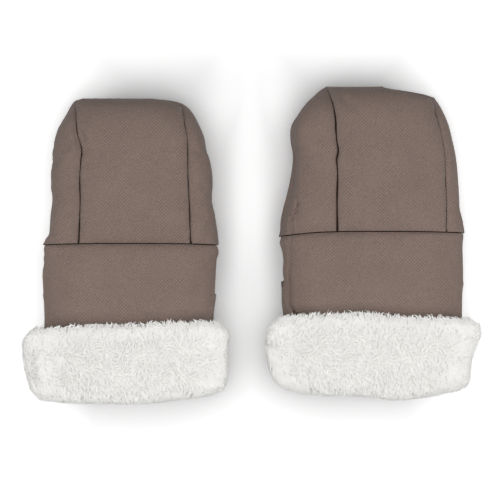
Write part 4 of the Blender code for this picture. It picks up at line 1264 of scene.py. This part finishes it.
def grow_pile(name, grid, ways, count, length, lean, lift, seed, weight, strands=4, width=0.0017, thin=0.00062, flat=1):
    """Locks of ribbons on a grid. lean is the direction the pile is brushed in: 0 runs down the rows. weight says
    where it is dense, and flat where it lies low."""
    rng = np.random.default_rng(seed)
    columns = grid.shape[1]
    area = np.linalg.norm(np.cross(grid[1:, :-1] - grid[:-1, :-1], grid[:-1, 1:] - grid[:-1, :-1]), axis=-1)
    area = area * weight[:-1, :-1]
    # Even spread: one lock for each equal step of the summed area, in a shuffled order of cells
    order = rng.permutation(area.size)
    total = np.cumsum(area.ravel()[order])
    cell = order[np.searchsorted(total, (np.arange(count) + rng.uniform(0, 1, count)) / count * total[-1] * 0.9999)]
    i, j = cell // (columns - 1), cell % (columns - 1)
    a, b = rng.uniform(0, 1, (2, count, 1))

    def at(field):
        """A field of the grid at the root of every lock."""
        field = field[..., None] if field.ndim == 2 else field
        return ((1 - a) * (1 - b) * field[i, j] + a * (1 - b) * field[i + 1, j] + (1 - a) * b * field[i, j + 1]
                + a * b * field[i + 1, j + 1])

    root, up = at(grid), at(ways)
    up /= np.linalg.norm(up, axis=1, keepdims=True)
    down_rows = at(np.gradient(grid, axis=0))
    down_rows -= up * np.sum(down_rows * up, axis=1, keepdims=True)
    down_rows /= np.maximum(np.linalg.norm(down_rows, axis=1, keepdims=True), 1e-12)
    turn = at(lean)[:, 0] + rng.normal(0, TURN_SPREAD, count)
    way = down_rows * np.cos(turn)[:, None] + np.cross(up, down_rows) * np.sin(turn)[:, None]
    side = np.cross(up, way)
    size = (length * rng.uniform(0.72, 1.28, count))[:, None]
    tall = (lift * rng.uniform(0.85, 1.15, count) * at(flat + 0 * grid[..., 0])[:, 0])[:, None]
    bend = (CURL * rng.normal(0, 1.0, count))[:, None]
    sway = rng.uniform(0, math.tau, count)[:, None]
    step = np.linspace(0, 1, STRAND_STEPS)
    # The middle line of a lock: rises, leans over and sinks a little at its tip
    rise = np.sin(np.minimum(step * 1.25, 1.0) * math.pi / 2) * (1 - 0.25 * step**3)
    sideways = size * (bend * step**2 * 0.5 + 0.07 * np.sin(sway + step * 5.5))
    # From here on: lock, ribbon, step and X, Y, Z
    root, way, up, side = (field[:, None, None, :] for field in (root, way, up, side))
    line = (root + way * (size * step)[:, None, :, None] + up * (tall * rise)[:, None, :, None]
            + side * sideways[:, None, :, None])
    # Ribbons round the middle line, like the staves of half a barrel, drawn together at the tip
    spread = (np.linspace(-STAVE_REACH, STAVE_REACH, strands) + rng.normal(0, SPREAD, (count, strands)))[..., None]
    half = width / 2 * rng.uniform(0.8, 1.2, (count, 1, 1)) * (1 - 0.82 * step**1.6)
    reach = 1 + rng.normal(0, SPREAD, (count, strands, 1)) * step
    bowed = side * (np.sin(spread) * half)[..., None]
    raised = up * ((np.cos(spread) - 0.5) * half * 0.9)[..., None]
    middle = root + (line - root) * reach[..., None] + bowed + raised
    broad = (thin / 2 * (1 - 0.62 * step**1.5))[:, None]
    face = side * np.cos(spread)[..., None] - up * np.sin(spread)[..., None]
    ribbons = np.stack([middle - face * broad, middle + face * broad], axis=3)
    ribbons[..., 2] = np.maximum(ribbons[..., 2], 0.0003)
    return add_ribbons(name, ribbons.reshape(-1, STRAND_STEPS, 2, 3))


def add_ribbons(name, ribbons):
    points = STRAND_STEPS * 2
    quad = np.array([[2 * k, 2 * k + 1, 2 * k + 3, 2 * k + 2] for k in range(STRAND_STEPS - 1)])
    faces = (np.arange(len(ribbons))[:, None, None] * points + quad).reshape(-1, 4)
    mesh = bpy.data.meshes.new(name)
    mesh.vertices.add(len(ribbons) * points)
    mesh.vertices.foreach_set("co", ribbons.reshape(-1).astype(np.float32))
    mesh.loops.add(faces.size)
    mesh.loops.foreach_set("vertex_index", faces.reshape(-1).astype(np.int32))
    mesh.polygons.add(len(faces))
    mesh.polygons.foreach_set("loop_start", np.arange(0, faces.size, 4, dtype=np.int32))
    mesh.update(calc_edges=True)
    mesh.validate()
    mesh.shade_smooth()
    mesh.materials.append(fleece_pile)
    item = bpy.data.objects.new(name, mesh)
    bpy.context.scene.collection.objects.link(item)
    print(name, len(mesh.polygons), "ribbon faces")
    return finished(item)


# %% Cuffs and their pile
HALF_GAP = 0.002
BRUSHED = ((0, 0.12, 0.35, 0.65, 1.0), (3.0, 2.0, 0.2, -0.8, -3.0))

for muff in MUFFS:
    name = muff["name"]
    halves = (("front_cuff", SPLIT + HALF_GAP, math.pi - SPLIT - HALF_GAP, "_flap", 101, 5000),
              ("palm_cuff", math.pi - SPLIT + HALF_GAP, math.tau + SPLIT - HALF_GAP, "_muff", 131, 4200))
    for label, first, last, body, seed, count in halves:
        sheet, skin, ways, ground = cuff_half(muff, label, first, last, seed)
        finished(sheet, [f"{name}_{label}"], name + body)
        x, y, z = np.moveaxis(skin, -1, 0)
        run = np.linspace(0, 1, len(x))[:, None] + 0 * x
        # Brushed up over the top edge, in patches up or down in the middle, and brushed down at the mouth
        upwards = np.interp(run, *BRUSHED) + 1.6 * unrest(x, y + z, 0.024, seed + 1)
        lean = math.pi / 2 * (1 + np.tanh(1.3 * upwards)) + 0.45 * unrest(y + z, x, 0.012, seed + 4)
        # Denser and flatter at the sides, and dense at the top edge too
        sides = np.clip((np.abs(x - muff["x"]) / muff["half"] - 0.72) / 0.25, 0, 1)
        dense = 1 + 1.1 * np.maximum(sides, np.clip(1 - np.abs(run - 0.10) / 0.10, 0, 1))
        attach(grow_pile(f"{name}_{label}_pile", ground, ways, count, 0.0050, lean, 0.0034, seed + 2, dense,
                          flat=1 - 0.5 * sides), name + body)

# %% [markdown]
# ## Hems, ledges and snap fasteners
#
# Each side edge of the flap is a thick hem with two snap sockets in its flat underside. They close on studs, which
# sit on a tape ledge along the inside of the side wall. The snaps are turned from one profile each. Their places are
# read from the CAD nodes, because the two halves have to meet there.

# %% Hems with their socket pockets
HEM_HEIGHT = 0.0454
SNAP_RADIUS = 0.0060
SOCKET_HEIGHT = 0.0042
LEDGE_TOP = HEM_HEIGHT - 0.0014
LEDGE_THICKNESS = 0.0016
LEDGE_WIDTH = 0.0210
HEM_SHORTER = 0.0030
HEM_RELIEF, HEM_CLEAR = 0.0042, 0.0016
POCKET_STEPS = 32


def node_place(name):
    """Middle of a CAD node across and along, and its lowest height."""
    low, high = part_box(name)
    return (low[0] + high[0]) / 2, (low[1] + high[1]) / 2, low[2]


def snap_node(muff, side, kind, number):
    return piece_of(muff, side, f"{kind}_{number}")


def pocket(item, x, y, radius, low, high):
    turns = np.linspace(0, math.tau, POCKET_STEPS + 1)[:-1]
    ring = np.stack([x + radius * np.cos(turns), y + radius * np.sin(turns)], axis=1)
    points = [(*spot, height) for height in (low, high) for spot in ring]
    faces = [tuple(range(POCKET_STEPS)), tuple(range(POCKET_STEPS, 2 * POCKET_STEPS))]
    for i in range(POCKET_STEPS):
        after = (i + 1) % POCKET_STEPS
        faces.append((i, after, after + POCKET_STEPS, i + POCKET_STEPS))
    carve(item, points, faces)


def hem(muff, side):
    rows = lower_rows(muff, muff["band"] + CUFF_LENGTH * MOUTH_SHARE - HEM_SHORTER)
    start = SPLIT + SPLIT_GAP if side > 0 else math.pi - SPLIT - SPLIT_GAP
    shares = np.linspace(0, 1, 12)
    angle = between(rows, start, hem_directions(muff, rows)[side < 0], shares)
    depth = np.minimum(relief(muff, rows, wall(muff, rows, angle), (), 67), HEM_RELIEF) + CLOTH + HEM_CLEAR
    outer = wall(muff, rows, angle, depth)
    inner = outer.copy()
    inner[..., 0] = outer[:, :1, 0] + (outer[:, -1:, 0] - outer[:, :1, 0]) * shares
    inner[..., 2] = HEM_HEIGHT
    outer[..., 2] = np.maximum(outer[..., 2], HEM_HEIGHT + 0.0004)
    name = piece_of(muff, side, "hem")
    made = add_sheet(name, outer, inner, webbing, smooth=False)
    for number in (1, 2):
        x, y, _ = node_place(snap_node(muff, side, "socket", number))
        pocket(made, x, y, SNAP_RADIUS + 0.00015, HEM_HEIGHT - 0.001, HEM_HEIGHT + SOCKET_HEIGHT + 0.0002)
    edged(made, 40)
    hinge_blend(finished(made, [name]))
    print(made.name, len(made.data.polygons), "faces")


for muff in MUFFS:
    for side in (-1, 1):
        hem(muff, side)

# %% Snap fasteners, turned
STUD_PROFILE = ((0.0, 0.0), (0.0056, 0.0), (0.0060, 0.0002), (0.0060, 0.0006), (0.0056, 0.0008), (0.0040, 0.0008),
                (0.0030, 0.0010), (0.0024, 0.0014), (0.0024, 0.0018), (0.0027, 0.0025), (0.0026, 0.0030),
                (0.0019, 0.0035), (0.0, 0.0035))
SOCKET_PROFILE = ((0.0, 0.0032), (0.0032, 0.0032), (0.0032, 0.0005), (0.0036, 0.0001), (0.0042, 0.0), (0.0046, 0.0003),
                  (0.0052, 0.0003), (0.0056, 0.0), (0.0060, 0.0003), (0.0060, 0.0042), (0.0, 0.0042))
TURN_STEPS = 40


def turned_snap(name, profile, body):
    """A profile of radii and heights turned about an upright line. It starts and ends on that line."""
    x, y, z = node_place(name)
    points = [(x, y, z + profile[0][1])]
    for radius, height in profile[1:-1]:
        turns = [math.tau * i / TURN_STEPS for i in range(TURN_STEPS)]
        points += [(x + radius * math.cos(turn), y + radius * math.sin(turn), z + height) for turn in turns]
    points.append((x, y, z + profile[-1][1]))
    faces = []
    for i in range(TURN_STEPS):
        j = (i + 1) % TURN_STEPS
        faces.append((0, 1 + j, 1 + i))
        for a in range(1, 1 + TURN_STEPS * (len(profile) - 3), TURN_STEPS):
            faces.append((a + i, a + j, a + j + TURN_STEPS, a + i + TURN_STEPS))
        a = 1 + TURN_STEPS * (len(profile) - 3)
        faces.append((a + i, a + j, len(points) - 1))
    made = add_mesh(name, points, faces, snap_steel)
    made.data.set_sharp_from_angle(angle=math.radians(60))
    return finished(made, [name], body)


for muff in MUFFS:
    for side in (-1, 1):
        for number in (1, 2):
            turned_snap(snap_node(muff, side, "stud", number), STUD_PROFILE, muff["name"] + "_muff")
            turned_snap(snap_node(muff, side, "socket", number), SOCKET_PROFILE, muff["name"] + "_flap")

# %% Ledges with their stitches
STITCH_LENGTH, STITCH_GAP, STITCH_WIDTH = 0.0022, 0.0010, 0.0004
STITCH_UNDER, STITCH_OVER = 0.0001, 0.00012
STITCH_ROWS = (0.0016, LEDGE_WIDTH - 0.0035)
LEDGE_IN_LINING, LEDGE_EDGE = 0.0015, 0.0021
BOX_FACES = ((3, 2, 1, 0), (4, 5, 6, 7), (0, 1, 5, 4), (1, 2, 6, 5), (2, 3, 7, 6), (3, 0, 4, 7))


def box_points(x0, x1, y0, y1, z0, z1):
    return [(x, y, z) for z in (z0, z1) for x, y in ((x0, y0), (x1, y0), (x1, y1), (x0, y1))]


def ledge(muff, side):
    name = piece_of(muff, side, "snap_ledge")
    low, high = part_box(name)
    x_end = muff["x"] + side * muff["half"]
    end_y = low[1] + max(0.0, float(drift(muff, np.array(x_end), np.array(low[1])))) + 0.0015

    def free_edge(y):
        """The long edge that no wall holds."""
        return wall_x(muff, y, LEDGE_TOP + 0 * y, LINING_INNER + LEDGE_EDGE, side) - side * LEDGE_WIDTH

    y = np.linspace(high[1], end_y, 40)
    levels = []
    for z in (LEDGE_TOP, LEDGE_TOP - LEDGE_THICKNESS):
        held = wall_x(muff, y, z + 0 * y, LINING_INNER - LEDGE_IN_LINING, side)
        x = held + (free_edge(y) - held) * np.linspace(0, 1, 8)[:, None]
        levels.append(np.stack([x, y + 0 * x, z + 0 * x], axis=-1))
    made = add_sheet(name, *levels, webbing)
    made.data.set_sharp_from_angle(angle=math.radians(40))
    finished(made, [name], muff["name"] + "_muff")
    points, faces = [], []
    for inset in STITCH_ROWS:
        for spot in np.arange(y[0] - 0.002, y[-1] + 0.003, -(STITCH_LENGTH + STITCH_GAP)):
            x = float(free_edge(np.array(spot))) + side * inset
            faces += [tuple(corner + len(points) for corner in face) for face in BOX_FACES]
            points += box_points(x - STITCH_WIDTH / 2, x + STITCH_WIDTH / 2, spot - STITCH_LENGTH, spot,
                                 LEDGE_TOP - STITCH_UNDER, LEDGE_TOP + STITCH_OVER)
    finished(add_mesh(name + "_stitches", points, faces, thread_and_seam_shade, smooth=False), body=muff["name"] + "_muff")
    print(name, len(faces) // len(BOX_FACES), "stitches")


for muff in MUFFS:
    for side in (-1, 1):
        ledge(muff, side)

# %% [markdown]
# ## Seam allowances and the pile inside
#
# Behind every sewn seam the two cut edges make a narrow strip, coloured as dark as the stitching. It shows as the fine
# dark line between two panels: the stitching's colour and painted shade of the deep seam in one. The fleece inside has
# the same pile as the cuffs, but flatter, since hands press it down.

# %% Seam allowances
ALLOWANCE_DEPTH = 0.0023
ALLOWANCE_HALF = 0.0022
ALLOWANCE_THICKNESS = 0.0011
TIP_START, TIP_LENGTH, TIP_NARROWS = 0.80, 0.12, 0.75


def seam_strip(muff, name, rows, angle, extra):
    """A dark strip behind a seam: the colour of dark stitching and painted shade of the deep seam in one. It follows
    the folds, and lies deeper by extra.
    """
    depth = ALLOWANCE_DEPTH + extra + np.maximum(dents(muff, wall(muff, rows, angle)), 0)
    made = add_sheet(f"{muff['name']}_{name}", wall(muff, rows, angle, depth),
                     wall(muff, rows, angle, depth + ALLOWANCE_THICKNESS), thread_and_seam_shade)
    finished(made, body=muff["name"] + "_muff")


for muff in MUFFS:
    rows = toe_rows(muff)
    right_seam, left_seam = seam_angles(muff, rows["y"])
    deeper = 0.5 * SEAM_DEPTH * np.clip(rows["closing"], 0, 1)[:, None] ** 0.7
    # Near the tip a gusset runs out, and the strip narrows with it
    tip = np.clip(((rows["y"] - muff["seam_y"]) / TOE_LENGTH - TIP_START) / TIP_LENGTH, 0, 1)
    for label, middle in (("right_seam_allowance", right_seam), ("left_seam_allowance", left_seam)):
        spread = ALLOWANCE_HALF / muff["half"] / np.maximum(np.sin(middle), 0.35) * (1 - TIP_NARROWS * tip)
        seam_strip(muff, label, rows, between(rows, middle - spread, middle + spread, 5), deeper)
    rows = open_rows(muff["seam_y"] + np.linspace(ALLOWANCE_HALF, -ALLOWANCE_HALF, 5))
    angle = between(rows, 0.03, math.pi - 0.03, 90)
    deeper = 0.5 * SEAM_DEPTH * (0.2 + 0.8 * np.sin(angle) ** 4)
    seam_strip(muff, "cross_seam_allowance", rows, angle, deeper)
print("meshes so far:", len(bpy.data.meshes))

# %% Pile on the linings
BARE_MARGIN = 0.004
LEDGE_MARGIN = 0.005

for muff in MUFFS:
    name, seam_y = muff["name"], muff["seam_y"]
    for label, count in (("flap_lining", 1900), ("palm_lining", 3000), ("toe_lining", 1800)):
        grid = inner_faces[f"{name}_{label}"]
        x, y, z = np.moveaxis(grid, -1, 0)
        weight = np.ones(x.shape)
        if label == "palm_lining":
            # None in the notches, and none where the ledges and the hems meet
            beside_notch = (y < seam_y + BARE_MARGIN) & (y > seam_y - NOTCH_LENGTH - BARE_MARGIN)
            weight[beside_notch & (z > NOTCH_FLOOR - BARE_MARGIN)] = 0.0
            weight[(y < seam_y - NOTCH_LENGTH) & (z > LEDGE_TOP - LEDGE_MARGIN)] = 0.0
        lean = 0.9 * unrest(x, y + z, 0.03, 7)
        pile = grow_pile(f"{name}_{label}_pile", grid, -outward(muff, grid), count, 0.0055, lean, 0.0022,
                         211 + len(label), weight, strands=3, width=0.0022, thin=0.0008)
        if label == "flap_lining":
            hinge_blend(pile)
        else:
            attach(pile, name + "_muff")
